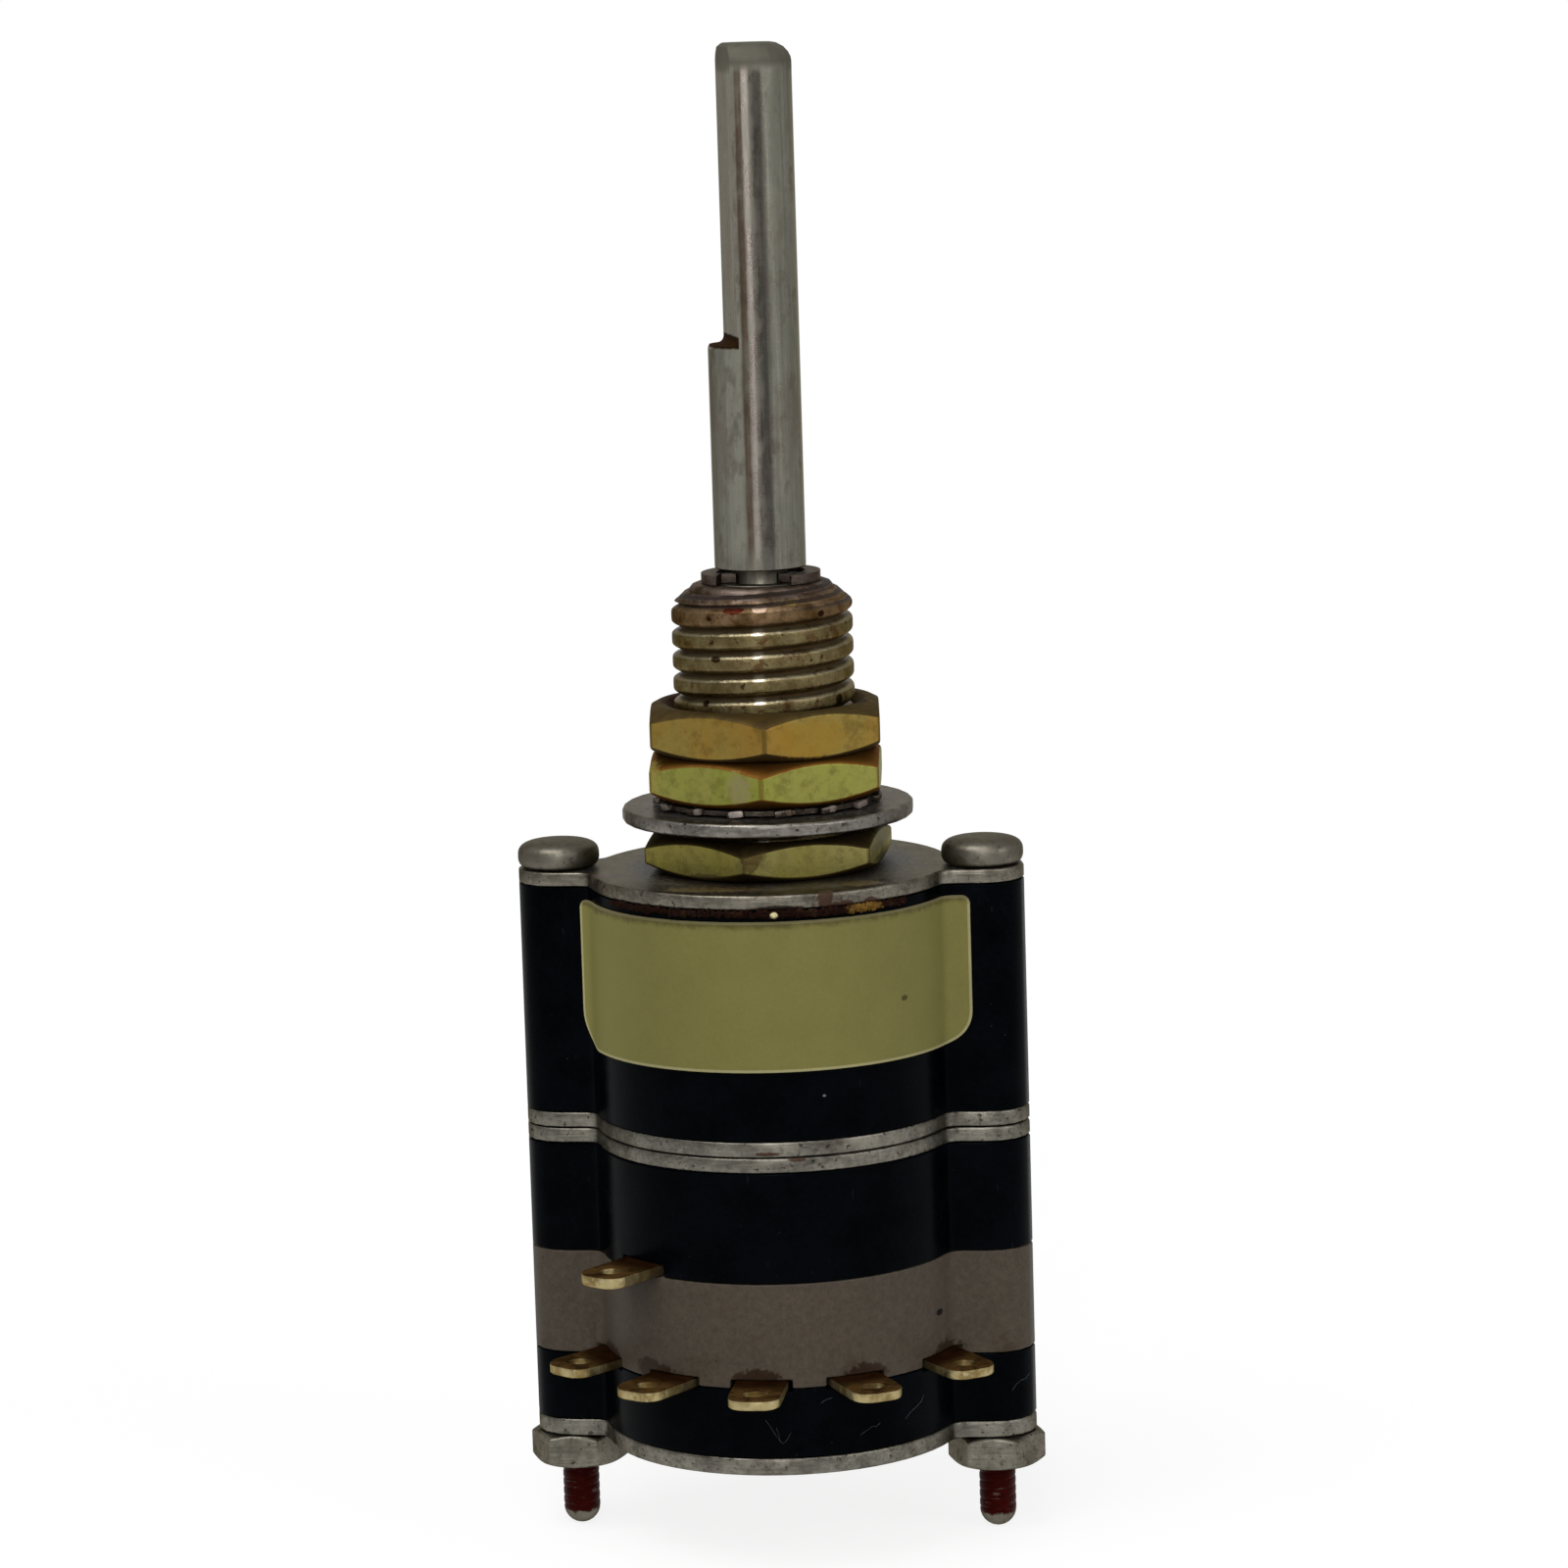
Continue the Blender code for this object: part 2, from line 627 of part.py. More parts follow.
def make_panel_hardware(parent):
    """What the switch is fixed in a panel with, from the top plate up."""
    look = zinc_yellow()
    washer_bottom = DEPTH_NUT_HEIGHT + WASHER_LIFT
    lock_bottom = washer_bottom + WASHER_HEIGHT + SEAM
    lower_bottom = lock_bottom + LOCK_WASHER_HEIGHT + SEAM
    upper_bottom = lower_bottom + PANEL_NUT_HEIGHT + NUT_GAP
    for name, height, bottom, angle in (
        ("depth_nut", DEPTH_NUT_HEIGHT - SEAM, SEAM, DEPTH_NUT_ANGLE),
        ("panel_nut_lower", PANEL_NUT_HEIGHT, lower_bottom, PANEL_NUT_ANGLE),
        ("panel_nut_upper", PANEL_NUT_HEIGHT, upper_bottom, PANEL_NUT_ANGLE),
    ):
        nut = finish(name, hexagon(NUT_FLATS, height), look, parent, bottom, angle)
        shape_nut(nut, NUT_FLATS, height, NUT_BORE, NUT_COUNTERSINK, ROUND)
    hole = circle(NUT_BORE + THREAD_FIT)
    washer = prism(circle(WASHER_RADIUS), 0, WASHER_HEIGHT, [hole])
    finish("flat_washer", washer, plate_steel(), parent, washer_bottom)

    tip = NUT_BORE + THREAD_FIT
    tooth = math.pi / LOCK_TEETH
    teeth = []
    for k in range(LOCK_TEETH):
        crest = 2 * k * tooth
        root = crest + tooth
        teeth += arc(tip, crest - LOCK_CREST / 2, crest + LOCK_CREST / 2, 2)
        teeth += arc(tip + LOCK_TOOTH_DEPTH, root - LOCK_ROOT / 2, root + LOCK_ROOT / 2, 2)
    lock = prism(circle(LOCK_WASHER_RADIUS), 0, LOCK_WASHER_HEIGHT, [teeth])
    finish("lock_washer", lock, spring_steel(), parent, lock_bottom)


def make_housing(parent):
    """The detent housing: a tube whose wall is scalloped where the balls run."""
    look = black_moulding()
    track = detent_track()
    housing = layer("detent_housing", HOUSING_TOP, HOUSING_HEIGHT, look, parent, [track])
    combine(housing, prism(circle(CHAMBER_RADIUS), -OVERCUT, TRACK_BOTTOM - UPPER_DIVIDER_TOP))

    thrust_bottom = ROTOR_TOP + SEAM
    ring = prism(circle(THRUST_WASHER_RADIUS), 0, THRUST_WASHER_HEIGHT, [circle(SHAFT_BORE)])
    finish("thrust_washer", ring, spring_steel(), parent, thrust_bottom)
    pin = prism(stop_pin_plan(0), SEAM, UPPER_DIVIDER_HEIGHT + STOP_PIN_REACH)
    finish("stop_pin", pin, shaft_steel(), parent, LOWER_DIVIDER_TOP)


def make_label(parent):
    """A paper label wrapped round the housing's front and on to both ears."""
    inner = front_path(SEAM, LABEL_LEFT, LABEL_RIGHT, LABEL_STEPS)
    outer = front_path(SEAM + LABEL_THICKNESS, LABEL_LEFT, LABEL_RIGHT, LABEL_STEPS)
    lengths = [0.0]
    for before, after in zip(outer, outer[1:]):
        lengths.append(lengths[-1] + (after - before).length)

    def corner(radius, place):
        """How far a rounded corner comes in, at this place along the label."""
        inside = max(radius - min(place, lengths[-1] - place), 0)
        return radius - math.sqrt(radius**2 - inside**2)

    bm = bmesh.new()
    columns = []
    for near, far, place in zip(inner, outer, lengths):
        low = corner(LABEL_BOTTOM_CORNER, place)
        high = LABEL_HEIGHT - corner(LABEL_TOP_CORNER, place)
        corners = [(*near, low), (*far, low), (*far, high), (*near, high)]
        columns.append([bm.verts.new(point) for point in corners])
    for before, after in zip(columns, columns[1:]):
        for i in range(4):
            bm.faces.new((before[i - 1], before[i], after[i], after[i - 1]))
    bm.faces.new(columns[0])
    bm.faces.new(columns[-1])
    bottom = HOUSING_TOP - LABEL_DROP - LABEL_HEIGHT
    finish("label", bm, label_paper(), parent, bottom)


def make_deck(parent):
    """The switch deck: two black wafers round a grey one, with the terminals between."""
    black = black_moulding()
    hole = circle(DIVIDER_BORE)
    upper = layer("upper_wafer", UPPER_WAFER_TOP, UPPER_WAFER_HEIGHT, black, parent, [hole])
    room_top = COMMON_BOTTOM + COMMON_THICKNESS + SEAM - SPACER_TOP
    room = prism(common_outline(SLOT_CLEARANCE), -OVERCUT, room_top)
    combine(upper, turn(room, COMMON_ANGLE))

    eyelet = circle(EYELET_RADIUS, SMALL_ROUND, (-COMMON_OFFSET, EYELET_INSET - COMMON_REACH))
    common = prism(common_outline(0), 0, COMMON_THICKNESS, [circle(COMMON_INNER), eyelet])
    finish("common_terminal", common, gold_plate(), parent, COMMON_BOTTOM, COMMON_ANGLE)

    hole = circle(CAVITY_RADIUS)
    spacer = layer("spacer_wafer", SPACER_TOP, SPACER_HEIGHT, grey_moulding(), parent, [hole])
    hole = circle(JOURNAL_RADIUS + RUNNING)
    lower = layer("lower_wafer", LOWER_WAFER_TOP, LOWER_WAFER_HEIGHT, black, parent, [hole])
    for wafer in (spacer, lower):
        slots = terminal_room()
        bmesh.ops.translate(slots, verts=slots.verts, vec=(0, 0, -wafer.location.z))
        combine(wafer, slots)

    for number, station in enumerate(STATIONS, 1):
        plan = terminal_outline(station, 0)
        lug = prism(plan, 0, TERMINAL_THICKNESS, [terminal_eyelet(station)])
        finish(f"terminal_{number:02d}", lug, gold_plate(), parent, TERMINAL_BOTTOM)


def make_shaft(parent):
    """The shaft, with its knob flat, ring groove, driving flats and lower journal."""
    journal_top = LOWER_WAFER_TOP + JOURNAL_LIFT
    profile = [
        (0, SHAFT_REACH),
        (SHAFT_RADIUS - SHAFT_CHAMFER, SHAFT_REACH),
        (SHAFT_RADIUS, SHAFT_REACH - SHAFT_CHAMFER),
        (SHAFT_RADIUS, BUSHING_REACH + GROOVE_HEIGHT),
        (GROOVE_RADIUS, BUSHING_REACH + GROOVE_HEIGHT),
        (GROOVE_RADIUS, BUSHING_REACH),
        (SHAFT_RADIUS, BUSHING_REACH),
        (SHAFT_RADIUS, journal_top),
        (JOURNAL_RADIUS, journal_top),
        (JOURNAL_RADIUS, journal_top - JOURNAL_LENGTH),
        (0, journal_top - JOURNAL_LENGTH),
    ]
    shaft = finish("shaft", turned(profile), shaft_steel(), parent)
    wide = 2 * SHAFT_RADIUS
    cut = box(
        (-wide, -wide, SHAFT_REACH - FLAT_LENGTH),
        (wide, FLAT_DEPTH - SHAFT_RADIUS, SHAFT_REACH + wide),
    )
    combine(shaft, turn(cut, FLAT_ANGLE))
    for angle in (0, math.pi):
        cut = box(
            (-wide, -wide, journal_top - SEAM),
            (wide, DRIVE_DEPTH - SHAFT_RADIUS, ROTOR_TOP + SEAM),
        )
        combine(shaft, turn(cut, angle))


def make_retaining_ring(parent):
    """An open ring with three prongs in the shaft's groove, its mouth to the front."""
    back = math.pi - RING_PRONG / 2
    tip = GROOVE_RADIUS + SEAM
    plan = arc(RING_RADIUS, RING_MOUTH, 2 * math.pi - RING_MOUTH, ROUND)
    for side in (-1, 1):
        turns = [RING_MOUTH, RING_MOUTH + RING_PRONG, back]
        if side < 0:
            turns = [2 * math.pi - a for a in turns]
        prong = arc(tip, turns[0], turns[1], 4)
        pocket = arc(RING_POCKET_RADIUS, turns[1], turns[2], 8)
        plan += prong + pocket if side < 0 else pocket[::-1] + prong[::-1]
        if side < 0:
            plan += arc(tip, math.pi + RING_PRONG / 2, math.pi - RING_PRONG / 2, 4)
    ring = prism(plan, 0, RING_THICKNESS)
    finish("retaining_ring", ring, spring_steel(), parent, BUSHING_REACH + SEAM)


def make_detent_rotor(parent):
    """The detent rotor with its stop arm, and a sprung ball in each of its two bores."""
    look = natural_moulding()
    hub_bottom = ROTOR_BOTTOM - HUB_DROP
    profile = [
        (0, ROTOR_TOP),
        (ROTOR_RADIUS, ROTOR_TOP),
        (ROTOR_RADIUS, ROTOR_BOTTOM),
        (HUB_RADIUS, ROTOR_BOTTOM),
        (HUB_RADIUS, hub_bottom),
        (0, hub_bottom),
    ]
    rotor = finish("detent_rotor", turned(profile), look, parent)
    # The arm meets the stop pin half a pitch, less the play, from the pin's own angle.
    half = STOP_PIN_ORBIT * math.sin(PITCH / 2 - STOP_PLAY) - STOP_PIN_RADIUS
    arm = box(
        (-half, -STOP_ARM_TIP, hub_bottom),
        (half, -(SHAFT_BORE + HUB_WALL), ROTOR_BOTTOM + OVERCUT),
    )
    middle = (STATIONS[0] + STATIONS[-1]) / 2
    combine(rotor, turn(arm, -middle), "UNION")
    bore = prism(double_flat(RUNNING), hub_bottom - OVERCUT, ROTOR_TOP + OVERCUT)
    combine(rotor, bore)

    ball_height = (ROTOR_TOP + ROTOR_BOTTOM) / 2
    floor = SHAFT_BORE + HUB_WALL
    spring_start = floor + SPRING_WIRE + SEAM
    ball_back = BALL_ORBIT - math.sqrt((BALL_RADIUS + SPRING_WIRE) ** 2 - SPRING_RADIUS**2)
    spring_end = ball_back - SEAM
    for name, angle in (("front", 0.0), ("back", math.pi)):
        reach = ROTOR_RADIUS + OVERCUT
        pocket = forward_rod(BALL_RADIUS + BALL_PLAY, floor, reach, ball_height)
        combine(rotor, turn(pocket, angle))
        finish(f"detent_ball_{name}", forward_ball(), shaft_steel(), parent, ball_height, angle)
        coil = detent_spring(f"detent_spring_{name}", spring_start, spring_end)
        coil.parent = parent
        coil.location.z = ball_height
        coil.rotation_euler.z = angle


def detent_spring(name, start, end):
    """A coil of wire that lies along -Y between two distances from the axis."""
    count = SPRING_TURNS * SPRING_STEPS
    curve = bpy.data.curves.new(name, "CURVE")
    curve.dimensions = "3D"
    curve.bevel_depth = SPRING_WIRE
    curve.bevel_resolution = 1
    curve.use_fill_caps = True
    spline = curve.splines.new("POLY")
    spline.points.add(count)
    for i, point in enumerate(spline.points):
        angle = 2 * math.pi * i / SPRING_STEPS
        forward = start + (end - start) * i / count
        x = SPRING_RADIUS * math.cos(angle)
        z = SPRING_RADIUS * math.sin(angle)
        point.co = (x, -forward, z, 1)
    curve.materials.append(spring_steel())
    obj = bpy.data.objects.new(name, curve)
    bpy.context.collection.objects.link(obj)
    return obj


def make_contact_rotor(parent):
    """The rotor in the deck, and the wiper that bridges the common ring and one pad."""
    wiper_top = COMMON_BOTTOM - RUBBING
    wiper_bottom = TERMINAL_TOP + RUBBING
    top = wiper_top - WIPER_THICKNESS - CONTACT_ROTOR_GAP
    bottom = wiper_bottom + WIPER_THICKNESS + CONTACT_ROTOR_GAP
    plate = prism(circle(CONTACT_ROTOR_RADIUS), 0, top - bottom, [double_flat(RUNNING)])
    rotor = finish("contact_rotor", plate, grey_moulding(), parent, bottom)
    side = WIPER_WIDTH / 2 + CONTACT_ROTOR_GAP
    back = WIPER_BACK + WIPER_THICKNESS
    slot = box(
        (-side, -back - CONTACT_ROTOR_GAP, -CONTACT_ROTOR_GAP),
        (side, -WIPER_BACK + CONTACT_ROTOR_GAP, top - bottom + CONTACT_ROTOR_GAP),
    )
    combine(rotor, slot)

    height = wiper_top - wiper_bottom
    profile = [
        (WIPER_INNER, height),
        (back, height),
        (back, WIPER_THICKNESS),
        (WIPER_OUTER, WIPER_THICKNESS),
        (WIPER_OUTER, 0),
        (WIPER_BACK, 0),
        (WIPER_BACK, height - WIPER_THICKNESS),
        (WIPER_INNER, height - WIPER_THICKNESS),
    ]
    bm = bmesh.new()
    half = WIPER_WIDTH / 2
    face = bm.faces.new([bm.verts.new((-half, -forward, z)) for forward, z in profile])
    raised = bmesh.ops.extrude_face_region(bm, geom=[face])
    verts = [item for item in raised["geom"] if isinstance(item, bmesh.types.BMVert)]
    bmesh.ops.translate(bm, verts=verts, vec=(WIPER_WIDTH, 0, 0))
    finish("wiper", bm, gold_plate(), parent, wiper_bottom)


def axis_empty(name):
    """An empty on the switch's axis, which carries the pieces of one rigid body."""
    empty = bpy.data.objects.new(name, None)
    bpy.context.collection.objects.link(empty)
    return empty


def main():
    clear_scene()
    fixed = axis_empty("fixed_pieces")
    make_fixed_frame(fixed)
    make_tie_bolts(fixed)
    make_panel_hardware(fixed)
    make_housing(fixed)
    make_label(fixed)
    make_deck(fixed)
    turning = axis_empty("turning_pieces")
    make_shaft(turning)
    make_retaining_ring(turning)
    make_detent_rotor(turning)
    make_contact_rotor(turning)


main()
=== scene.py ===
# %% [markdown]
# # A miniature rotary switch
#
# The switch is a stack of black and taupe mouldings between steel plates, held by two small
# bolts. A threaded bushing with nuts stands on top, and a long shaft with a flat comes out of
# it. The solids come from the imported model. This notebook gives them their fine shapes and
# their finishes, then sets the camera and the light.

import json
import math

import bpy
from mathutils import Matrix, Vector

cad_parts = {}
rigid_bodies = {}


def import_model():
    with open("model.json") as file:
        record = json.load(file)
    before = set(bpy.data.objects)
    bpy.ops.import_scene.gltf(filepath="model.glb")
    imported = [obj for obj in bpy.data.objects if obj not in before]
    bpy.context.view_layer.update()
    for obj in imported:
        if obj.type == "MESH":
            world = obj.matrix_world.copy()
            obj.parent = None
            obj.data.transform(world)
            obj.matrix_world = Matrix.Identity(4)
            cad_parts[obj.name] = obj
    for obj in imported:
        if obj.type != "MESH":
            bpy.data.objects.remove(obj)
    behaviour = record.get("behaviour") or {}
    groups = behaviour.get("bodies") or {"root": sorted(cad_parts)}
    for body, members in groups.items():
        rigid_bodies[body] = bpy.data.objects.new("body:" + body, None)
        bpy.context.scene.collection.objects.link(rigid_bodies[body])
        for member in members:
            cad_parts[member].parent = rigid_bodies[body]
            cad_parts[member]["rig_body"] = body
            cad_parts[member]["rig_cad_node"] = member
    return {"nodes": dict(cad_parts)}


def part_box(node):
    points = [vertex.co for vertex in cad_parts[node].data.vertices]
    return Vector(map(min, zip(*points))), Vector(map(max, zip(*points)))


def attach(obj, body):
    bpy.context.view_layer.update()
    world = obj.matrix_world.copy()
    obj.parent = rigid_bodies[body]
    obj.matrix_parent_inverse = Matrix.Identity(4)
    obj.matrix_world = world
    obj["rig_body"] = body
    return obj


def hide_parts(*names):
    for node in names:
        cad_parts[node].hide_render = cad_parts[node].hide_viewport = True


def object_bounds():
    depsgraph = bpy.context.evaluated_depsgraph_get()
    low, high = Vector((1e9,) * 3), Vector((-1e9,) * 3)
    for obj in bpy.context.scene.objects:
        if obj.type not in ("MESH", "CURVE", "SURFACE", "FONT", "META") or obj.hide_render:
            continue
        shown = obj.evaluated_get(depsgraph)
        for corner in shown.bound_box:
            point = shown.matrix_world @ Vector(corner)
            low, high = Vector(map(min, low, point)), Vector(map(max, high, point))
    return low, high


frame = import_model()
solid_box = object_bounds()
MM = 0.001
print("nodes:", len(frame["nodes"]))

# %% [markdown]
# ## Camera
#
# The photograph was taken from a little above the top plate and slightly to the right, with a
# long lens and the camera held a touch off level. A camera could be placed by hand and aimed
# with a Track To constraint. Here it goes back from the point it looks at along one direction,
# then rolls about its own axis, because three angles and a distance are easy to correct one at
# a time.

# %% Camera
LENS = 125.35                   # millimetres, on the default 36 mm sensor
DISTANCE = 190.39 * MM
LOOK_AT = Vector((0.5926, 0.0, 2.8305)) * MM
AZIMUTH = 0.1299                # radians, from the front towards +X
ELEVATION = 0.1554
ROLL = -0.0303

away = Vector((
    math.sin(AZIMUTH) * math.cos(ELEVATION),
    -math.cos(AZIMUTH) * math.cos(ELEVATION),
    math.sin(ELEVATION),
))
bpy.ops.object.camera_add(location=LOOK_AT + away * DISTANCE)
camera = bpy.context.active_object
camera.data.lens = LENS
camera.data.clip_start = 10 * MM
facing = away.to_track_quat("Z", "Y").to_matrix()
camera.rotation_euler = (facing @ Matrix.Rotation(ROLL, 3, "Z")).to_euler()
bpy.context.scene.camera = camera
print("camera at, in mm:", [round(part / MM, 1) for part in camera.location])

# %% [markdown]
# ## Working on one piece at a time
#
# Blender's operators act on whatever is selected, and the loaded solids start out selected.
# Each helper below therefore begins by selecting only its own piece. A piece could keep its
# place on its object, but a pattern then slides when the object moves, so every place and turn
# is written into the mesh and the object stays at the origin.

# %% Selection helpers
def select_only(piece):
    bpy.ops.object.select_all(action="DESELECT")
    piece.select_set(True)
    bpy.context.view_layer.objects.active = piece


def edit(piece):
    """Opens a piece in edit mode with all of it selected."""
    select_only(piece)
    bpy.ops.object.mode_set(mode="EDIT")
    bpy.ops.mesh.select_all(action="SELECT")


def leave_edit():
    bpy.ops.object.mode_set(mode="OBJECT")


def settle():
    """Writes the newest piece's place, turn and size into its mesh, and returns it."""
    bpy.ops.object.transform_apply()
    return bpy.context.active_object


def turn_mesh(piece, angle):
    """Turns a piece's mesh about the switch's axis, by an angle in radians."""
    select_only(piece)
    piece.rotation_euler.z = angle
    bpy.ops.object.transform_apply()


def apply(piece, kind, **settings):
    """Adds a modifier with these settings and applies it."""
    select_only(piece)
    modifier = piece.modifiers.new(kind.title(), kind)
    for name, value in settings.items():
        setattr(modifier, name, value)
    bpy.ops.object.modifier_apply(modifier=modifier.name)


print("helpers for one piece at a time are ready")

# %% [markdown]
# ## Soft edges on every solid
#
# No real edge is a knife: punched plates have a rolled edge, mouldings have a small radius and
# nuts are deburred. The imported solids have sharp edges. A bevel in the shader would only fake
# the shine, so each visible solid is copied, its loose triangles are merged into clean faces,
# and a narrow bevel rounds its edges. Weighted normals keep the large faces flat in the light.

# %% Copies with soft edges
MERGE = 0.0005 * MM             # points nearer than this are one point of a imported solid
FLAT_ENOUGH = math.radians(0.5)     # faces that turn less than this become one
SHARP = math.radians(28)        # edges that turn more than this are bevelled
SMOOTH_BELOW = math.radians(40)     # edges that turn less than this are shaded smooth


def copy_solid(node):
    """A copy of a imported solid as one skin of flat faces, free of its body."""
    select_only(frame["nodes"][node])
    bpy.ops.object.duplicate()
    piece = bpy.context.active_object
    piece.parent = None
    piece.name = node + "_fine"
    piece.data.name = piece.name
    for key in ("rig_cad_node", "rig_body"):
        del piece[key]
    edit(piece)
    bpy.ops.mesh.customdata_custom_splitnormals_clear()
    bpy.ops.mesh.select_all(action="SELECT")
    bpy.ops.mesh.remove_doubles(threshold=MERGE)
    bpy.ops.mesh.dissolve_limited(angle_limit=FLAT_ENOUGH)
    leave_edit()
    return piece


def soften(piece, width, segments=2):
    """Rounds a piece's sharp edges, and shades it smooth with its large faces flat."""
    if width:
        apply(
            piece,
            "BEVEL",
            width=width,
            segments=segments,
            limit_method="ANGLE",
            angle_limit=SHARP,
        )
    shade(piece)


def shade(piece):
    select_only(piece)
    bpy.ops.object.shade_smooth_by_angle(angle=SMOOTH_BELOW)
    apply(piece, "WEIGHTED_NORMAL", keep_sharp=True)


def body_of(node):
    return frame["nodes"][node]["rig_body"]


def stand_for(piece, node):
    """The piece replaces this node, on the node's own body."""
    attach(piece, body_of(node))
    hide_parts(node)


def wear(piece, finish, node):
    """Gives a finished piece its material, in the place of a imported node."""
    piece.name = node + "_fine"
    piece.data.materials.clear()
    piece.data.materials.append(finish)
    stand_for(piece, node)
    print(f"{piece.name}: {len(piece.data.polygons)} faces")


def dress(node, width, finish, segments=2):
    """A soft-edged copy of a solid, with its finish, in the solid's place."""
    piece = copy_solid(node)
    soften(piece, width, segments)
    wear(piece, finish, node)
    return piece


print("a bevel starts at a turn of", round(math.degrees(SHARP)), "degrees")

# %% [markdown]
# ## Writing a material as a sum
#
# A finish is worked out from masks and noises. It could be wired node by node, but `1 - mask`
# is easier to read than three nodes and their links. So one small class stands for a socket,
# and its operators add Math nodes.

# %% Sockets in sums
class Shade:
    """One socket of a finish, which takes part in sums as a number would."""

    def __init__(self, finish, socket):
        self.finish = finish
        self.socket = socket

    def __add__(self, other):
        return self.finish.maths("ADD", self, other)

    def __sub__(self, other):
        return self.finish.maths("SUBTRACT", self, other)

    def __rsub__(self, other):
        return self.finish.maths("SUBTRACT", other, self)

    def __mul__(self, other):
        return self.finish.maths("MULTIPLY", self, other)

    def __truediv__(self, other):
        return self.finish.maths("DIVIDE", self, other)

    def __rtruediv__(self, other):
        return self.finish.maths("DIVIDE", other, self)

    def __pow__(self, other):
        return self.finish.maths("POWER", self, other)

    __radd__ = __add__
    __rmul__ = __mul__


print("a socket adds, subtracts, multiplies, divides and takes powers")

# %% [markdown]
# ## The other nodes
#
# Everything that isn't plain maths comes from one method, which makes a node, sets it up and
# fills its sockets. The methods after it are the few steps that every finish here repeats: a
# place in millimetres, a noise, a soft threshold, a mix and a patch round one point. Node
# groups could hold them too, but functions are shorter to read and to change.

# %% Graph of nodes
class Graph:
    """A tree of shader nodes in the making. Lengths in its patterns are in millimetres."""

    def __init__(self, tree):
        self.tree = tree

    def node(self, kind, settings=None, inputs=None, output=0):
        """A node of this kind: its settings come first, then its inputs' values or links."""
        made = self.tree.nodes.new("ShaderNode" + kind)
        for name, value in (settings or {}).items():
            if name == "stops":
                self.set_stops(made.color_ramp.elements, value)
            else:
                setattr(made, name, value)
        for name, value in (inputs or {}).items():
            self.feed(made.inputs[name], value)
        return Shade(self, made.outputs[output])

    def set_stops(self, elements, stops):
        while len(elements) < len(stops):
            elements.new(1)
        for element, (position, colour) in zip(elements, stops):
            element.position = position
            element.color = (*colour, 1)

    def feed(self, socket, value):
        if isinstance(value, Shade):
            self.tree.links.new(value.socket, socket)
        elif isinstance(value, tuple) and socket.type == "RGBA":
            socket.default_value = (*value, 1)
        else:
            socket.default_value = value

    def maths(self, operation, *values):
        return self.node("Math", {"operation": operation}, dict(enumerate(values)))

    def place(self, stretch=(1, 1, 1)):
        """Where a point is on the switch, in millimetres, squeezed along some axes."""
        scale = tuple(part / MM for part in stretch)
        coordinates = self.node("TexCoord", output="Object")
        return self.node("Mapping", {}, {"Vector": coordinates, "Scale": scale})

    def axes(self, vector):
        return [self.node("SeparateXYZ", {}, {0: vector}, axis) for axis in "XYZ"]

    def noise(self, vector, scale, detail=3.0, rough=0.55):
        inputs = {"Vector": vector, "Scale": scale, "Detail": detail, "Roughness": rough}
        return self.node("TexNoise", {}, inputs)

    def step(self, value, low, high):
        """Rises smoothly from 0 at low to 1 at high."""
        settings = {"interpolation_type": "SMOOTHSTEP"}
        return self.node("MapRange", settings, {0: value, 1: low, 2: high})

    def mix(self, share, first, second):
        inputs = {0: share, 6: first, 7: second}
        return self.node("Mix", {"data_type": "RGBA"}, inputs, 2)

    def spot(self, place, centre, radii, ragged=0.35):
        """1 inside an uneven patch round a point, fading to 0 at its edge."""
        inputs = {0: place, 1: tuple(-part for part in centre)}
        offset = self.node("VectorMath", {"operation": "ADD"}, inputs)
        inputs = {0: offset, 1: tuple(1 / part for part in radii)}
        scaled = self.node("VectorMath", {"operation": "MULTIPLY"}, inputs)
        distance = self.node("VectorMath", {"operation": "LENGTH"}, {0: scaled}, "Value")
        wobble = (self.noise(place, 4.5, 5.0, 0.6) - 0.5) * (2 * ragged)
        return 1 - self.step(distance + wobble, 0.75, 1.05)

    def most(self, *masks):
        """The strongest of several masks."""
        result = masks[0]
        for mask in masks[1:]:
            result = self.maths("MAXIMUM", result, mask)
        return result

    def upward(self):
        """How far a face looks up: 1 for a top, 0 for a side, -1 for an underside."""
        return self.axes(self.node("TexCoord", output="Normal"))[2]

    def bump(self, height, distance, strength=1.0):
        """A relief of this many millimetres for a height of 1."""
        inputs = {"Strength": strength, "Distance": distance * MM, "Height": height}
        return self.node("Bump", {}, inputs)


class Finish(Graph):
    """A material in the making."""

    def __init__(self, name):
        self.material = bpy.data.materials.new(name)
        self.material.use_nodes = True
        super().__init__(self.material.node_tree)
        self.shader = self.tree.nodes["Principled BSDF"]

    def done(self, **sockets):
        """Feeds the shader's own sockets, named with underscores for spaces."""
        for name, value in sockets.items():
            self.feed(self.shader.inputs[name.replace("_", " ")], value)
        print(f"finish {self.material.name}: {len(self.tree.nodes)} nodes")
        return self.material


def srgb(red, green, blue):
    """A colour read off, 0 to 255, as the shader counts it."""
    return tuple((part / 255) ** 2.2 for part in (red, green, blue))


# %% [markdown]
# ## Plated steel
#
# The plates, the washer and the tie nuts are plated steel gone dull: a warm grey, brushed in
# one direction, with cloudy patches and brown grime that has crept in from the edges. An image
# of real steel would be quick, but it repeats and has a seam. The brushing here is a noise
# stretched along X, used for colour, roughness and a hair of relief. Where the photograph shows
# one particular stain, its place is passed in and becomes a mask. Painted reflections, painted
# highlights and dark patches of painted shade are passed in and masked in the same way.

# %% Plated steel
RUST = srgb(58, 34, 18)
# colour of the dark patches: mostly painted shade under and between parts
PAINTED_SHADE_AND_GRIME = srgb(30, 20, 12)
DULL_EDGE = (0.42, 0.40, 0.36)  # oxide and grime keep the metals from shining at a low angle
PALEST = 1.45                   # of the steel's tone, in its clean patches
DULLEST = 0.55
FINE_DIRT = 0.38


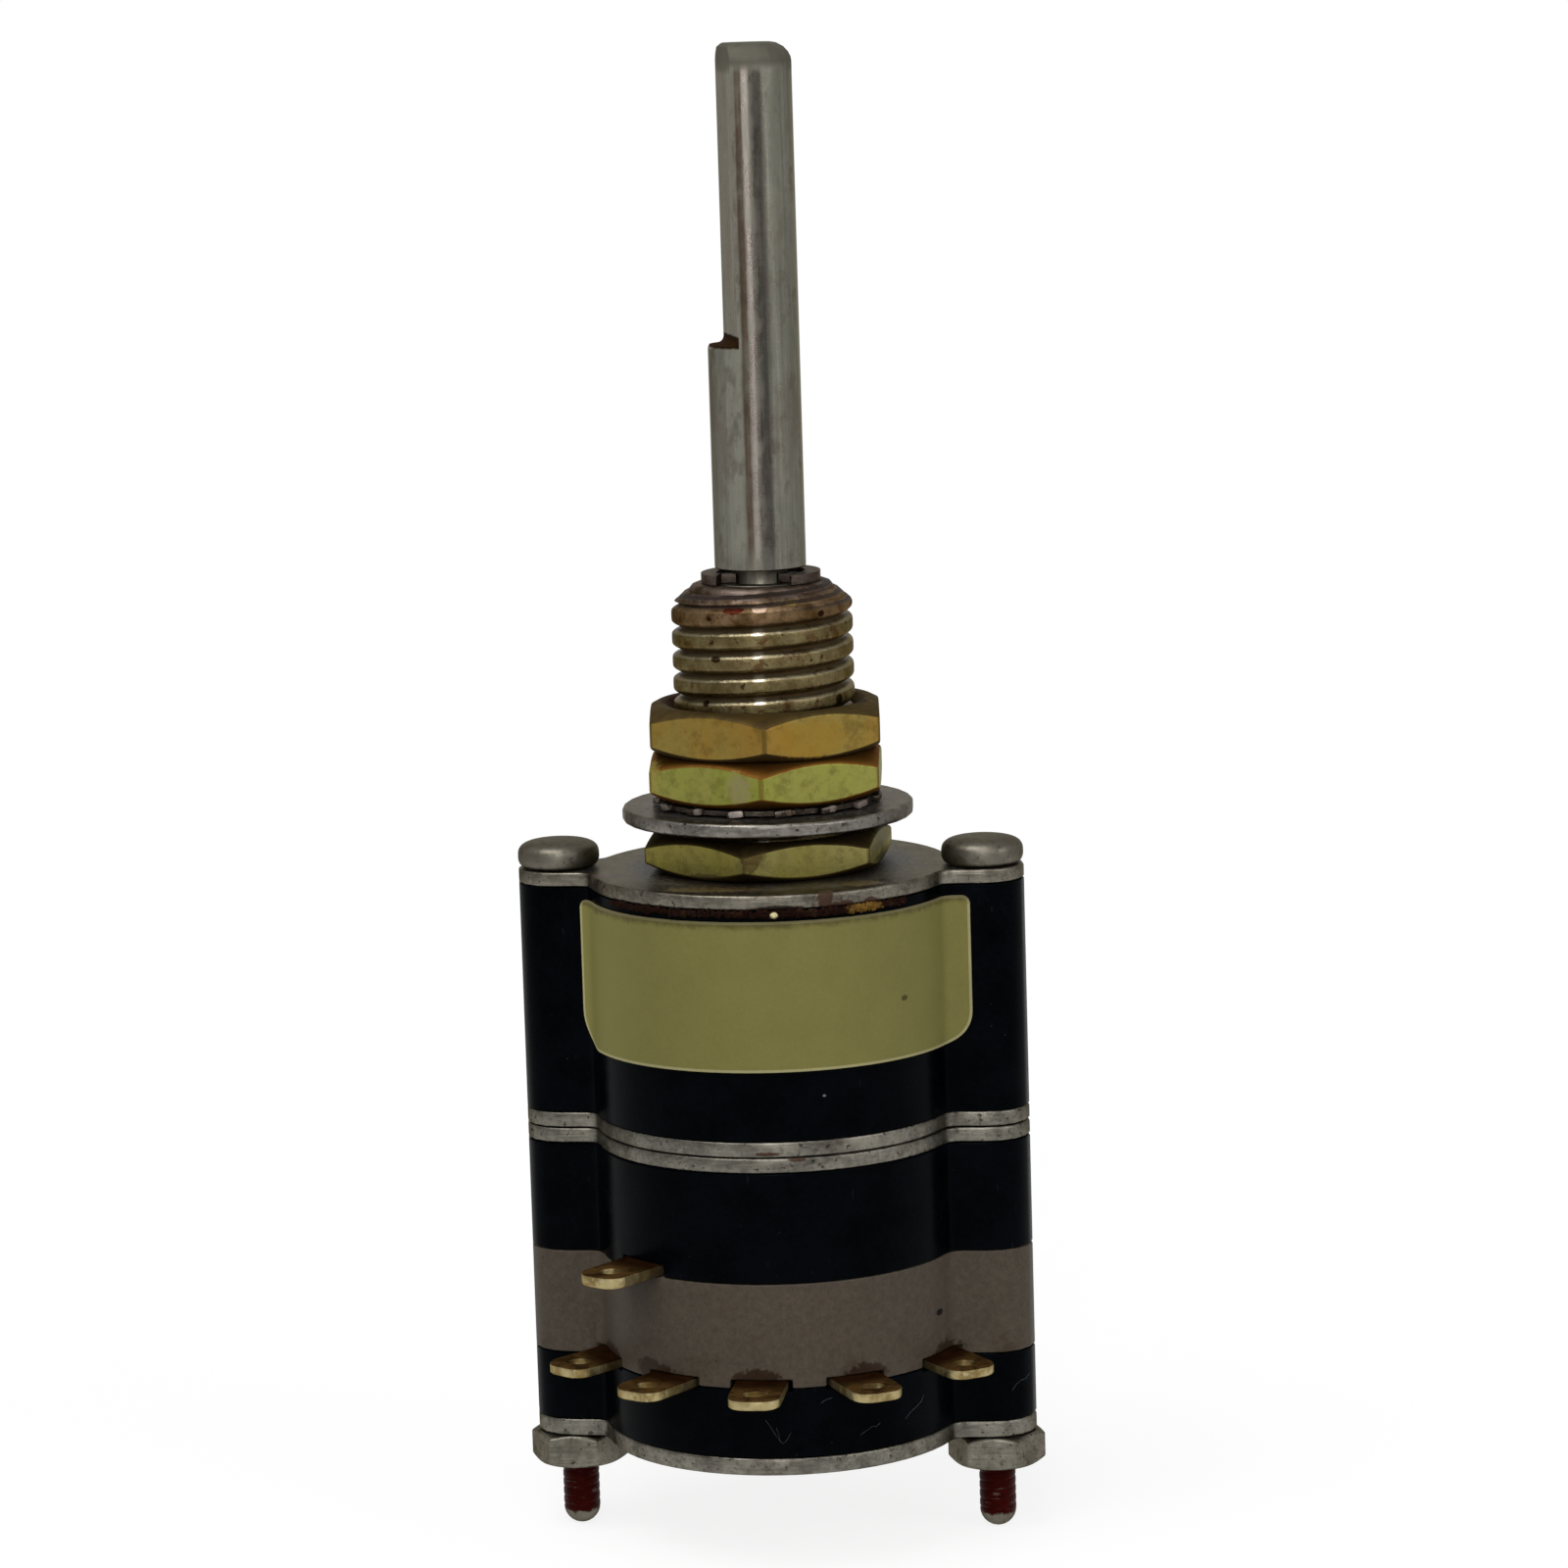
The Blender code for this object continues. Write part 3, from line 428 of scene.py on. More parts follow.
def scaled(colour, share):
    return tuple(part * share for part in colour)


def plated_steel(name, tone, grime=0.5, rough=0.36, stains_and_painted_light=(), dark=()):
    """Stains and painted light are a centre, its radii and a colour; dark patches of painted shade
    and grime are the same without a colour.
    """
    finish = Finish(name)
    place = finish.place()
    brushed = finish.noise(finish.place((0.30, 7.0, 7.0)), 1.6, 4.0, 0.6)
    clouds = finish.noise(place, 0.85, 6.0, 0.68)
    fine = finish.noise(place, 4.2, 5.0, 0.7)
    pits = finish.step(finish.noise(place, 4.6, 2.0), 0.63, 0.71)
    stain = finish.step(finish.noise(place, 0.62, 6.0, 0.7), 0.63 - 0.12 * grime, 0.76)
    patchy = finish.step(brushed * 0.35 + clouds * 0.65, 0.34, 0.66)
    colour = finish.mix(patchy, scaled(tone, DULLEST), scaled(tone, PALEST))
    colour = finish.mix(finish.step(fine, 0.48, 0.70) * 0.55, colour, scaled(tone, FINE_DIRT))
    colour = finish.mix(pits * 0.75, colour, srgb(36, 28, 20))
    colour = finish.mix(stain * grime, colour, RUST)
    dirt_and_painted_light = stain * grime
    # the stains are rust and grime, and on some steels painted reflections and painted highlights
    for centre, radii, tint in stains_and_painted_light:
        patch = finish.spot(place, centre, radii, 0.8) * 0.85
        colour = finish.mix(patch, colour, tint)
        dirt_and_painted_light = finish.most(dirt_and_painted_light, patch)
    # dark patches: mostly painted shade under and between parts
    for centre, radii in dark:
        patch = finish.spot(place, centre, radii) * 0.92
        colour = finish.mix(patch, colour, PAINTED_SHADE_AND_GRIME)
        dirt_and_painted_light = finish.most(dirt_and_painted_light, patch)
    return finish.done(
        Base_Color=colour,
        Metallic=1.0 - dirt_and_painted_light * 0.75,
        Roughness=brushed * 0.16 + clouds * 0.18 + dirt_and_painted_light * 0.15 + (rough - 0.17),
        Specular_Tint=DULL_EDGE,
        Normal=finish.bump(brushed * 0.6 + fine * 0.5 + dirt_and_painted_light * 0.4, 0.025, 0.8),
    )


# %% [markdown]
# ## The plates' and washers' steels
#
# The layers were plated in one bath but have aged apart: the top plate has painted shade round
# the nut and is rusty under its front edge, the washer is the cleanest, and the spring steels are
# nearly black. Five separate materials would repeat the same nodes, so one recipe takes a tone,
# how dirty and how rough it is, and the places of the stains and of the painted light and shade.

# %% Five steels
top_plate_finish = plated_steel(
    "top_plate_steel",
    (0.165, 0.150, 0.120),
    grime=0.45,
    rough=0.34,
    stains_and_painted_light=(
        # rust on the front edge and under it
        ((2.65, -5.75, -0.20), (0.30, 0.55, 0.45), RUST),
        ((3.20, -5.45, -0.48), (0.55, 0.45, 0.20), RUST),
        ((4.10, -4.85, -0.48), (0.45, 0.40, 0.18), RUST),
        # beside the left ear, and behind its bolt's head
        ((-5.60, -2.20, 0.00), (0.50, 0.45, 0.30), RUST),
        ((-7.30, 1.30, 0.00), (1.30, 0.30, 0.30), RUST),
        # painted reflections of the nut, olive, on the plate in front of it
        ((-1.20, -4.95, 0.00), (1.90, 0.60, 0.30), srgb(92, 76, 44)),
        ((3.60, -3.90, 0.00), (0.80, 0.60, 0.30), srgb(84, 70, 44)),
    ),
    dark=(
        # darker along the lower front edge
        ((1.00, -6.20, -0.50), (1.10, 0.60, 0.17)),
        ((-3.20, -5.50, -0.52), (1.60, 0.90, 0.09)),
        # painted shade all round the nut's base
        ((0.00, 0.00, 0.00), (5.40, 5.50, 0.30)),
    ),
)
plate_finish = plated_steel(
    "plate_steel",
    (0.160, 0.150, 0.125),
    grime=0.55,
    rough=0.36,
    stains_and_painted_light=(
        # rust on the divider's edge
        ((1.50, -6.17, -9.15), (0.35, 0.50, 0.09), RUST),
        ((0.50, -6.33, -8.94), (0.45, 0.50, 0.07), RUST),
    ),
)
washer_finish = plated_steel(
    "washer_steel",
    (0.190, 0.177, 0.156),
    grime=0.35,
    rough=0.32,
    dark=(
        # painted shade on both faces, as far out as the nuts reach
        ((0.0, 0.0, 2.26), (4.45, 4.45, 0.20)),
        ((0.0, 0.0, 1.70), (4.70, 4.70, 0.15)),
    ),
)
nut_steel_finish = plated_steel(
    "tie_nut_steel", (0.155, 0.144, 0.116), grime=0.45, rough=0.38
)
lock_finish = plated_steel(
    "lock_steel",
    (0.110, 0.092, 0.076),
    grime=0.6,
    rough=0.30,
    stains_and_painted_light=(
        # painted highlights on the front blocks, some bright and some dim
        ((-3.30, -2.20, 2.40), (0.30, 0.40, 0.20), (0.26, 0.22, 0.19)),
        ((-1.96, -3.48, 2.40), (0.20, 0.30, 0.20), (0.24, 0.20, 0.18)),
        ((-0.56, -3.96, 2.40), (0.30, 0.30, 0.20), (0.52, 0.44, 0.40)),
        ((1.40, -3.75, 2.40), (0.30, 0.30, 0.15), (0.14, 0.09, 0.06)),
        ((2.70, -2.90, 2.40), (0.22, 0.30, 0.20), (0.24, 0.20, 0.17)),
        ((3.50, -1.90, 2.40), (0.35, 0.50, 0.20), (0.30, 0.23, 0.21)),
    ),
    dark=(
        # painted shade on everything but the blocks' outer faces
        ((0.0, 0.0, 2.40), (3.93, 3.93, 2.0)),
    ),
)
ring_finish = plated_steel("ring_steel", (0.110, 0.084, 0.072), grime=0.7, rough=0.42)

# %% [markdown]
# ## Tie bolts with red thread paint
#
# Below the nuts the bolts are painted dark red to lock the thread. The paint is scraped on the
# crests, and it stops short of the tip, which is bare. It could be a thin shell of its own, but
# paint this thin has no edge to see, so it is a mask by height with a ragged border.

# %% Painted bolts
PAINT_TOP = -21.10              # heights between which the thread is painted
PAINT_END = -23.34


def painted_steel():
    finish = Finish("bolt_steel")
    place = finish.place()
    height = finish.axes(place)[2]
    clouds = finish.noise(place, 0.9, 5.0, 0.65)
    fine = finish.noise(place, 4.5, 4.0, 0.65)
    rubbed = finish.step(finish.noise(finish.place((1.2, 1.2, 5.0)), 1.5, 4.0), 0.60, 0.68)
    edge = height + (fine - 0.5) * 0.35
    paint = 1 - finish.step(edge, PAINT_TOP - 0.20, PAINT_TOP)
    paint = paint * finish.step(edge, PAINT_END, PAINT_END + 0.12)
    paint = paint * (1 - rubbed * 0.35)
    specks = finish.step(finish.noise(place, 7.0, 2.0), 0.68, 0.74)
    metal = finish.mix(clouds, (0.072, 0.063, 0.049), (0.235, 0.217, 0.177))
    metal = finish.mix(finish.step(fine, 0.52, 0.70) * 0.5, metal, srgb(52, 42, 33))
    metal = finish.mix(specks * 0.5, metal, srgb(140, 130, 110))
    red = finish.mix(fine, srgb(26, 3, 2), srgb(70, 18, 13))
    return finish.done(
        Base_Color=finish.mix(paint, metal, red),
        Metallic=1.0 - paint * 0.92,
        Roughness=clouds * 0.20 + fine * 0.10 + 0.30,
        Specular_IOR_Level=0.08,
        Specular_Tint=DULL_EDGE,
        Normal=finish.bump(clouds * 0.5 + fine * 0.5, 0.03, 0.5),
    )


bolt_finish = painted_steel()

# %% [markdown]
# ## The shaft's steel
#
# The shaft is turned bar, greenish grey, with fine streaks drawn along it. A painted, pinkish
# highlight runs down its front between a painted dark line and a painted dark reflection, and
# breaks off in flecks; a pale band of painted light lies further left. Lamps alone give a clean
# highlight there, so these painted reflections are masks by the angle round the axis. The
# streaks are a noise squeezed hard round the shaft and stretched along it.

# %% Shaft steel
FLAT_SIDE = math.radians(-72)   # where the knob flat looks, from the front towards +X
FLAT_AT = 0.80                  # its distance from the axis
FLAT_BOTTOM = 18.22             # the height of its lower end
GROOVE_TOP = 10.47              # of the groove for the retaining ring
GROOVE_BOTTOM = 9.97
TIP_BARE = 27.9                 # the bands end just below this height


def shaft_steel():
    finish = Finish("shaft_steel")
    place = finish.place()
    x, y, height = finish.axes(place)
    streaks = finish.noise(finish.place((5.0, 5.0, 0.10)), 1.3, 5.0, 0.6)
    flecks = finish.noise(finish.place((5.0, 5.0, 0.9)), 1.6, 6.0, 0.75)
    mottle = finish.noise(finish.place((1.5, 1.5, 0.7)), 1.1, 6.0, 0.7)
    clouds = finish.noise(finish.place((1.0, 1.0, 0.30)), 0.8, 4.0)
    rings = finish.noise(finish.place((0.4, 0.4, 12.0)), 1.0, 3.0)
    wander = (finish.noise(finish.place((0.2, 0.2, 0.4)), 0.9, 3.0) - 0.5) * 0.10
    turn = finish.maths("ARCTAN2", x, y * -1.0) + wander
    along = 1 - finish.step(height, TIP_BARE - 0.4, TIP_BARE)
    along = along * finish.step(height, GROOVE_TOP + 0.03, GROOVE_TOP + 1.03)

    def band(middle, half, fade):
        """A stripe down the shaft, at this angle in radians from the front."""
        aside = finish.maths("ABSOLUTE", turn - middle)
        return (1 - finish.step(aside, half, half + fade)) * along

    runs = finish.step(finish.noise(finish.place((1.6, 1.6, 0.8)), 0.9, 4.0, 0.65), 0.38, 0.60)
    # painted reflections, set by the angle round the axis: a painted highlight broken into flecks,
    # a pale band of painted light to its left, a painted dark reflection to its right, and a
    # painted dark line between the pale band and the highlight
    painted_highlight = band(0.100, 0.018, 0.075) * (finish.step(flecks, 0.32, 0.52) * 0.5 + 0.5)
    pale = band(-0.36, 0.14, 0.10)
    dark = band(0.320, 0.090, 0.110) * (mottle * 0.7 + 0.40)
    line = band(-0.055, 0.045, 0.055) * (finish.step(mottle, 0.32, 0.55) * 0.4 + 0.6)
    facing = x * math.sin(FLAT_SIDE) - y * math.cos(FLAT_SIDE)
    hollow = finish.step(facing, FLAT_AT - 0.06, FLAT_AT - 0.02)
    near = finish.maths("ABSOLUTE", height + (flecks - 0.5) * 0.2 - FLAT_BOTTOM - 0.12)
    hollow = hollow * (1 - finish.step(near, 0.16, 0.26))
    groove = (GROOVE_TOP + GROOVE_BOTTOM) / 2
    neck = 1 - finish.step(finish.maths("ABSOLUTE", height - groove), 0.24, 0.34)
    tip = finish.step(height, TIP_BARE - 0.5, TIP_BARE)
    shades = streaks * 0.40 + clouds * 0.25 + mottle * 0.35
    shades = finish.step(shades, 0.3, 0.7)
    colour = finish.mix(shades, (0.180, 0.178, 0.140), (0.350, 0.338, 0.282))
    rosy = finish.noise(finish.place((0.8, 0.8, 0.4)), 0.9, 5.0, 0.7)
    colour = finish.mix(pale * 0.6, colour, (0.410, 0.400, 0.330))
    colour = finish.mix(finish.step(rosy, 0.48, 0.62) * 0.60, colour, (0.220, 0.185, 0.155))
    colour = finish.mix(finish.step(mottle, 0.50, 0.66) * 0.55, colour, (0.125, 0.112, 0.082))
    colour = finish.mix(dark * 0.72, colour, (0.095, 0.078, 0.070))
    colour = finish.mix(line * 0.80, colour, srgb(84, 66, 54))
    colour = finish.mix(painted_highlight * (runs * 0.7 + 0.3), colour, (0.34, 0.285, 0.265))
    colour = finish.mix(tip * 0.75, colour, (0.115, 0.110, 0.088))
    colour = finish.mix(finish.most(hollow, neck * 0.25), colour, srgb(46, 32, 20))
    dulled = (1 - runs) * band(0.10, 0.16, 0.16) * 0.12
    polish = streaks * 0.14 + rings * 0.05 + tip * 0.50 + dulled + 0.16
    return finish.done(
        Base_Color=colour,
        Metallic=1.0 - hollow,
        Roughness=finish.most(polish, hollow, neck * 0.42),
        Specular_IOR_Level=0.05,
        Specular_Tint=DULL_EDGE,
        Normal=finish.bump(streaks * 0.5 + mottle * 0.4 + flecks * painted_highlight * 0.2, 0.018, 0.8),
    )


shaft_finish = shaft_steel()

# %% [markdown]
# ## The bushing's metal
#
# The bushing is plated brass with old grease in the thread's roots, so its colour follows the
# distance from the axis. Its turned end is purplish, and dark lines of painted shade wind round
# it where the thread's groove runs out. Each crest's upward side has a painted highlight, and a
# painted glint at the front. A wrapped image would smear over the crests. Here the lines follow
# `climb`, the height less the helix's rise, so they wind round with the thread.

# %% Thread
THREAD_CREST = 3.15             # radius of the bushing's thread, in millimetres
THREAD_DEPTH = 0.28
THREAD_LEAD = 0.794             # the thread's climb in one turn


def radius_of(finish, vector):
    """Distance from the switch's axis."""
    x, y, _ = finish.axes(vector)
    return (x * x + y * y) ** 0.5


# painted shade: dark lines in the groove where the thread runs out over the end
END_SHADE_LINES = (9.74, 9.45, 9.16)  # climbs at which dark lines wind round the end
THREAD_MARKS = (                # centre, radii and colour
    ((-0.60, -3.00, 9.33), (0.42, 0.4, 0.16), srgb(66, 18, 14)),
    ((0.32, -3.04, 9.36), (0.26, 0.4, 0.15), srgb(172, 148, 130)),
    ((1.40, -2.70, 9.53), (0.28, 0.4, 0.14), srgb(122, 102, 58)),
    ((2.33, -2.12, 9.07), (0.13, 0.2, 0.12), srgb(30, 14, 8)),
    ((-1.27, -2.88, 7.63), (0.20, 0.3, 0.12), srgb(40, 22, 10)),
    ((-1.69, -2.66, 6.14), (0.15, 0.3, 0.20), srgb(20, 16, 12)),
    ((2.80, -1.45, 6.00), (0.14, 0.3, 0.20), srgb(30, 18, 12)),
)


def thread_finish():
    finish = Finish("bushing_nickel")
    place = finish.place()
    x, y, height = finish.axes(place)
    climb = height - finish.maths("ARCTAN2", x, y * -1.0) * (THREAD_LEAD / math.tau)
    root = THREAD_CREST - THREAD_DEPTH - 0.01
    depth = finish.step(radius_of(finish, place), root, THREAD_CREST - 0.08)
    clouds = finish.noise(place, 1.1, 6.0, 0.7)
    fine = finish.noise(place, 4.0, 4.0, 0.7)
    tarnish = finish.step(clouds, 0.3, 0.7)
    metal = finish.mix(tarnish, (0.090, 0.064, 0.024), (0.205, 0.165, 0.080))
    metal = finish.mix(finish.step(fine, 0.50, 0.66) * 0.5, metal, (0.080, 0.056, 0.022))
    stain = finish.step(finish.noise(place, 1.5, 5.0, 0.75), 0.55, 0.64)
    # painted highlight on the upward side of each crest
    painted_lip_highlight = finish.step(finish.upward(), 0.25, 0.45) * finish.step(clouds, 0.30, 0.50)
    metal = finish.mix(painted_lip_highlight * 0.55, metal, (0.34, 0.30, 0.20))
    front = finish.maths("ABSOLUTE", finish.maths("ARCTAN2", x, y * -1.0) - 0.08)
    # each crest's upper side has a painted glint at the front
    painted_glint = (1 - finish.step(front, 0.02, 0.09)) * finish.step(finish.upward(), 0.20, 0.35)
    painted_glint = painted_glint * (1 - finish.step(height, 8.75, 8.85))
    metal = finish.mix(painted_glint * 0.9, metal, (0.78, 0.72, 0.60))
    end = finish.step(climb + (clouds - 0.5) * 0.1, 8.70, 8.85)
    bare = finish.step(height, 9.15, 9.35)
    olive = finish.mix(finish.step(clouds, 0.35, 0.65), srgb(70, 50, 30), srgb(124, 100, 76))
    purple = finish.mix(finish.step(clouds, 0.35, 0.65), srgb(60, 46, 40), srgb(108, 94, 90))
    turned = finish.mix(finish.step(climb, 9.50, 9.62), olive, purple)
    metal = finish.mix(end * 0.85, metal, turned)
    metal = finish.mix(stain * 0.6, metal, srgb(72, 40, 24))
    pits = finish.step(finish.noise(place, 2.6, 4.0, 0.7), 0.63, 0.68)
    metal = finish.mix(pits * 0.8, metal, srgb(34, 20, 10))
    for centre, radii, tone in THREAD_MARKS:
        metal = finish.mix(finish.spot(place, centre, radii) * 0.9, metal, tone)
    # lines of painted shade along the run-out groove
    shade_lines = 0.0
    for level in END_SHADE_LINES:
        aside = finish.maths("ABSOLUTE", climb + (clouds - 0.5) * 0.16 - level)
        shade_lines = finish.maths("MAXIMUM", 1 - finish.step(aside, 0.045, 0.090), shade_lines)
    shade_lines = shade_lines * bare * 0.9
    metal = finish.mix(shade_lines, metal, srgb(26, 14, 10))
    grease = (1 - depth) * (fine * 0.6 + 0.75) * (1 - bare)
    grease = finish.maths("MINIMUM", grease, 1.0)
    colour = finish.mix(grease * 0.85, metal, srgb(74, 56, 32))
    return finish.done(
        Base_Color=colour,
        Metallic=1.0 - finish.most(grease * 0.6, shade_lines),
        Roughness=shade_lines * 0.3 + fine * 0.24 + clouds * 0.16 - painted_lip_highlight * 0.08 + end * 0.12 + 0.22,
        Specular_Tint=DULL_EDGE,
        Normal=finish.bump(fine * 0.7 + clouds * 0.5 - grease * 0.3, 0.05, 0.9),
    )


bushing_finish = thread_finish()

# %% [markdown]
# ## The nuts' yellow plating
#
# The nuts wear a yellow passivation that shimmers between lime, gold and orange in soft
# patches, and goes brown on the turned shoulders. A thin-film setting of the shader could make
# the shimmer, but it changes with the view and can't be steered. So two colours are mixed by a
# broad noise, and the corners are found by the angle round the axis and get a painted shade.

# %% Yellow plating
def yellow_finish(name, lime, gold, turned, turned_by, marks=()):
    """Turned colours the corners' shoulders, and darker, as painted shade, the corners.
    Marks: centre, radii, colour and strength.
    """
    finish = Finish(name)
    place = finish.place()
    x, y, _ = finish.axes(place)
    angle = finish.maths("ARCTAN2", x, y * -1.0) - math.radians(turned_by)
    aside = finish.maths("PINGPONG", angle, math.radians(30))
    patches = finish.noise(finish.place((1.0, 1.0, 0.7)), 0.40, 3.0, 0.5)
    fine = finish.noise(place, 2.2, 5.0, 0.65)
    grain = finish.noise(place, 9.0, 3.0)
    milled = finish.noise(finish.place((3.5, 3.5, 0.35)), 1.2, 3.0)
    grime = finish.step(finish.noise(place, 1.1, 6.0, 0.75), 0.50, 0.68)
    slope = finish.maths("ABSOLUTE", finish.upward())
    shoulder = finish.step(slope, 0.10, 0.45)
    colour = finish.mix(finish.step(patches, 0.36, 0.64), lime, gold)
    colour = finish.mix(finish.step(fine, 0.44, 0.64) * 0.42, colour, scaled(gold, 0.50))
    colour = finish.mix(milled * 0.25, colour, scaled(lime, 1.3))
    colour = finish.mix(grime * 0.28, colour, srgb(78, 58, 22))
    colour = finish.mix(shoulder * (0.72 + fine * 0.4), colour, turned)
    for centre, radii, tone, strength in marks:
        colour = finish.mix(finish.spot(place, centre, radii, 0.6) * strength, colour, tone)
    # painted shade along each corner of the hexagon
    corner = (1 - finish.step(aside + (fine - 0.5) * 0.04, 0.006, 0.028)) * (1 - shoulder)
    colour = finish.mix(corner * 0.60, colour, scaled(turned, 0.7))
    return finish.done(
        Base_Color=colour,
        Metallic=0.85,
        Roughness=fine * 0.22 + grain * 0.08 + shoulder * 0.22 + 0.26,
        Specular_Tint=DULL_EDGE,
        Normal=finish.bump(fine * 0.5 + milled * 0.3 + grain * 0.3, 0.035, 0.8),
    )


# %% [markdown]
# ## The lugs' gold
#
# The lugs are brass under thin gold. Their edges are still bright, and flux has browned their
# tops and burnt their roots. The parts could be painted by hand on a UV map. A mask from the
# way each face looks does the same for all eleven lugs at once, however they are turned.

# %% Gold lugs
ROOT_BURNT = (6.85, 7.60)       # radii between which the burnt root fades out


def lug_finish():
    finish = Finish("gold_plate")
    place = finish.place()
    clouds = finish.noise(place, 1.3, 4.0, 0.65)
    fine = finish.noise(place, 3.6, 4.0, 0.6)
    x, y, _ = finish.axes(place)
    across, ahead, up = finish.axes(finish.node("TexCoord", output="Normal"))
    top = finish.step(up, 0.08, 0.40)
    radius = radius_of(finish, place)
    outward = (x * across + y * ahead) / radius
    wall = finish.step(outward, 0.5, 0.8) * (1 - finish.step(radius, 8.05, 8.30))
    tarnish = finish.step(clouds, 0.40, 0.62)
    edge = finish.mix(tarnish, (0.40, 0.33, 0.165), (0.21, 0.150, 0.058))
    edge = finish.mix(finish.step(fine, 0.58, 0.68) * 0.5, edge, (0.52, 0.47, 0.29))
    browned = finish.mix(tarnish, (0.046, 0.020, 0.004), (0.014, 0.006, 0.0015))
    edge = finish.mix(wall * 0.8, edge, (0.110, 0.062, 0.016))
    colour = finish.mix(top * 0.97, edge, browned)
    root = 1 - finish.step(radius + (clouds - 0.5) * 1.6, *ROOT_BURNT)
    colour = finish.mix(root * 0.85, colour, srgb(26, 12, 5))
    return finish.done(
        Base_Color=colour,
        Metallic=1.0 - finish.most(top, root),
        Roughness=clouds * 0.25 + fine * 0.15 + top * 0.50 + 0.20,
        Specular_IOR_Level=0.02,
        Specular_Tint=DULL_EDGE,
        Normal=finish.bump(clouds * 0.6 + fine * 0.4, 0.04, 0.7),
    )


gold_finish = lug_finish()

# %% [markdown]
# ## Three nuts, three colours
#
# The upper nut has gone orange, the lower one is lime, and the one against the plate is a dull
# olive. One material for all would be simpler but wrong at a glance. Each takes the recipe with
# two colours, its turn, and the marks that the photograph shows.

# %% Three nuts' colours
UPPER_TURN = 7.0                # how far each nut is turned from having a corner in front
LOWER_TURN = 5.0
DEPTH_TURN = -3.5

upper_nut_finish = yellow_finish(
    "yellow_zinc_gold",
    (0.268, 0.206, 0.052),
    (0.305, 0.176, 0.032),
    (0.060, 0.040, 0.015),
    UPPER_TURN,
    marks=(
        ((2.40, -3.60, 4.90), (1.90, 1.20, 0.75), (0.310, 0.185, 0.026), 0.60),
        ((-3.40, 0.60, 5.80), (0.36, 1.60, 0.40), srgb(46, 20, 12), 0.80),
        ((3.35, -0.80, 5.80), (0.34, 0.60, 0.40), srgb(40, 24, 14), 0.80),
    ),
)
lower_nut_finish = yellow_finish(
    "yellow_zinc_lime",
    (0.265, 0.288, 0.050),
    (0.300, 0.278, 0.072),
    (0.170, 0.062, 0.010),
    LOWER_TURN,
    marks=(
        ((-0.60, -4.30, 3.35), (0.62, 0.60, 0.62), (0.32, 0.28, 0.10), 0.45),
        ((-0.40, -4.30, 3.30), (0.40, 0.60, 0.55), (0.30, 0.25, 0.14), 0.45),
        ((-3.60, -2.20, 3.40), (0.50, 0.80, 0.70), (0.34, 0.29, 0.07), 0.70),
    ),
)
depth_nut_finish = yellow_finish(
    "yellow_zinc_dull",
    (0.290, 0.250, 0.058),
    (0.300, 0.265, 0.090),
    (0.058, 0.036, 0.014),
    DEPTH_TURN,
    marks=(
        ((0.02, -4.25, 1.14), (0.50, 0.80, 0.20), (0.120, 0.085, 0.032), 0.90),
        ((-0.02, -4.35, 0.93), (0.44, 0.80, 0.22), (0.105, 0.074, 0.024), 0.85),
        ((-0.08, -4.50, 0.66), (0.26, 0.60, 0.24), (0.105, 0.074, 0.024), 0.80),
        ((-1.60, -3.90, 0.16), (1.30, 0.90, 0.16), (0.130, 0.098, 0.036), 0.80),
        # painted shadow of the washer on the nut's top face
        ((0.00, 0.00, 1.44), (4.40, 4.40, 0.15), srgb(14, 9, 5), 0.95),
        ((4.40, -0.60, 0.20), (0.60, 2.40, 0.55), srgb(34, 24, 12), 0.80),
        ((4.30, -0.40, 1.00), (0.60, 2.40, 0.60), srgb(96, 92, 62), 0.80),
    ),
)

# %% [markdown]
# ## The black mouldings
#
# The black layers are a thermoset resin with dust and hair-fine scratches. A plain black would
# look like a hole in the picture, so two bluish blacks are mixed by a haze, and the haze varies
# the gloss too. The reflection is kept low, because the real surface is dull from handling.

# %% Black mouldings
def black_moulding():
    finish = Finish("black_moulding")
    place = finish.place()
    haze = finish.noise(place, 0.55, 5.0, 0.6)
    grain = finish.noise(place, 6.0, 3.0)
    scratches = finish.noise(finish.place((4.0, 4.0, 0.6)), 1.8, 2.0)
    marks = finish.step(scratches, 0.69, 0.72) * finish.step(haze, 0.52, 0.60)
    dust = finish.step(finish.noise(place, 5.5, 2.0), 0.755, 0.775)
    tints = finish.step(haze * 0.7 + grain * 0.3, 0.35, 0.65)
    colour = finish.mix(tints, (0.0002, 0.0004, 0.0008), (0.0013, 0.0022, 0.0036))
    colour = finish.mix(marks * 0.06 + dust * 0.16, colour, (0.12, 0.12, 0.11))
    speck = finish.spot(place, (2.42, -5.87, -7.00), (0.06, 0.20, 0.05), 0.1)
    colour = finish.mix(speck, colour, srgb(110, 112, 108))
    return finish.done(
        Base_Color=colour,
        Roughness=haze * 0.20 + grain * 0.10 + marks * 0.3 + 0.10,
        Specular_IOR_Level=0.016,
        Normal=finish.bump(grain * 0.3 + haze * 0.7, 0.03, 0.35),
    )


black_finish = black_moulding()

# %% [markdown]
# ## The pale mouldings
#
# The taupe wafer is the same resin without the black: matt, faintly mottled, with specks of
# filler. Flux has run down from the lugs and stained it, more so at its lower edge. A gradient
# by height alone looks airbrushed, so the stain is broken up by a noise, and each lug adds a
# patch of its own. The detent rotor inside is an unfilled white plastic.

# %% Pale mouldings
LUG_ROOTS = ((-5.75, -2.65), (-3.90, -5.00), (-0.15, -6.35), (3.55, -5.25), (6.00, -2.20))
LUG_LEVEL = -16.95              # height of the stains over the lugs


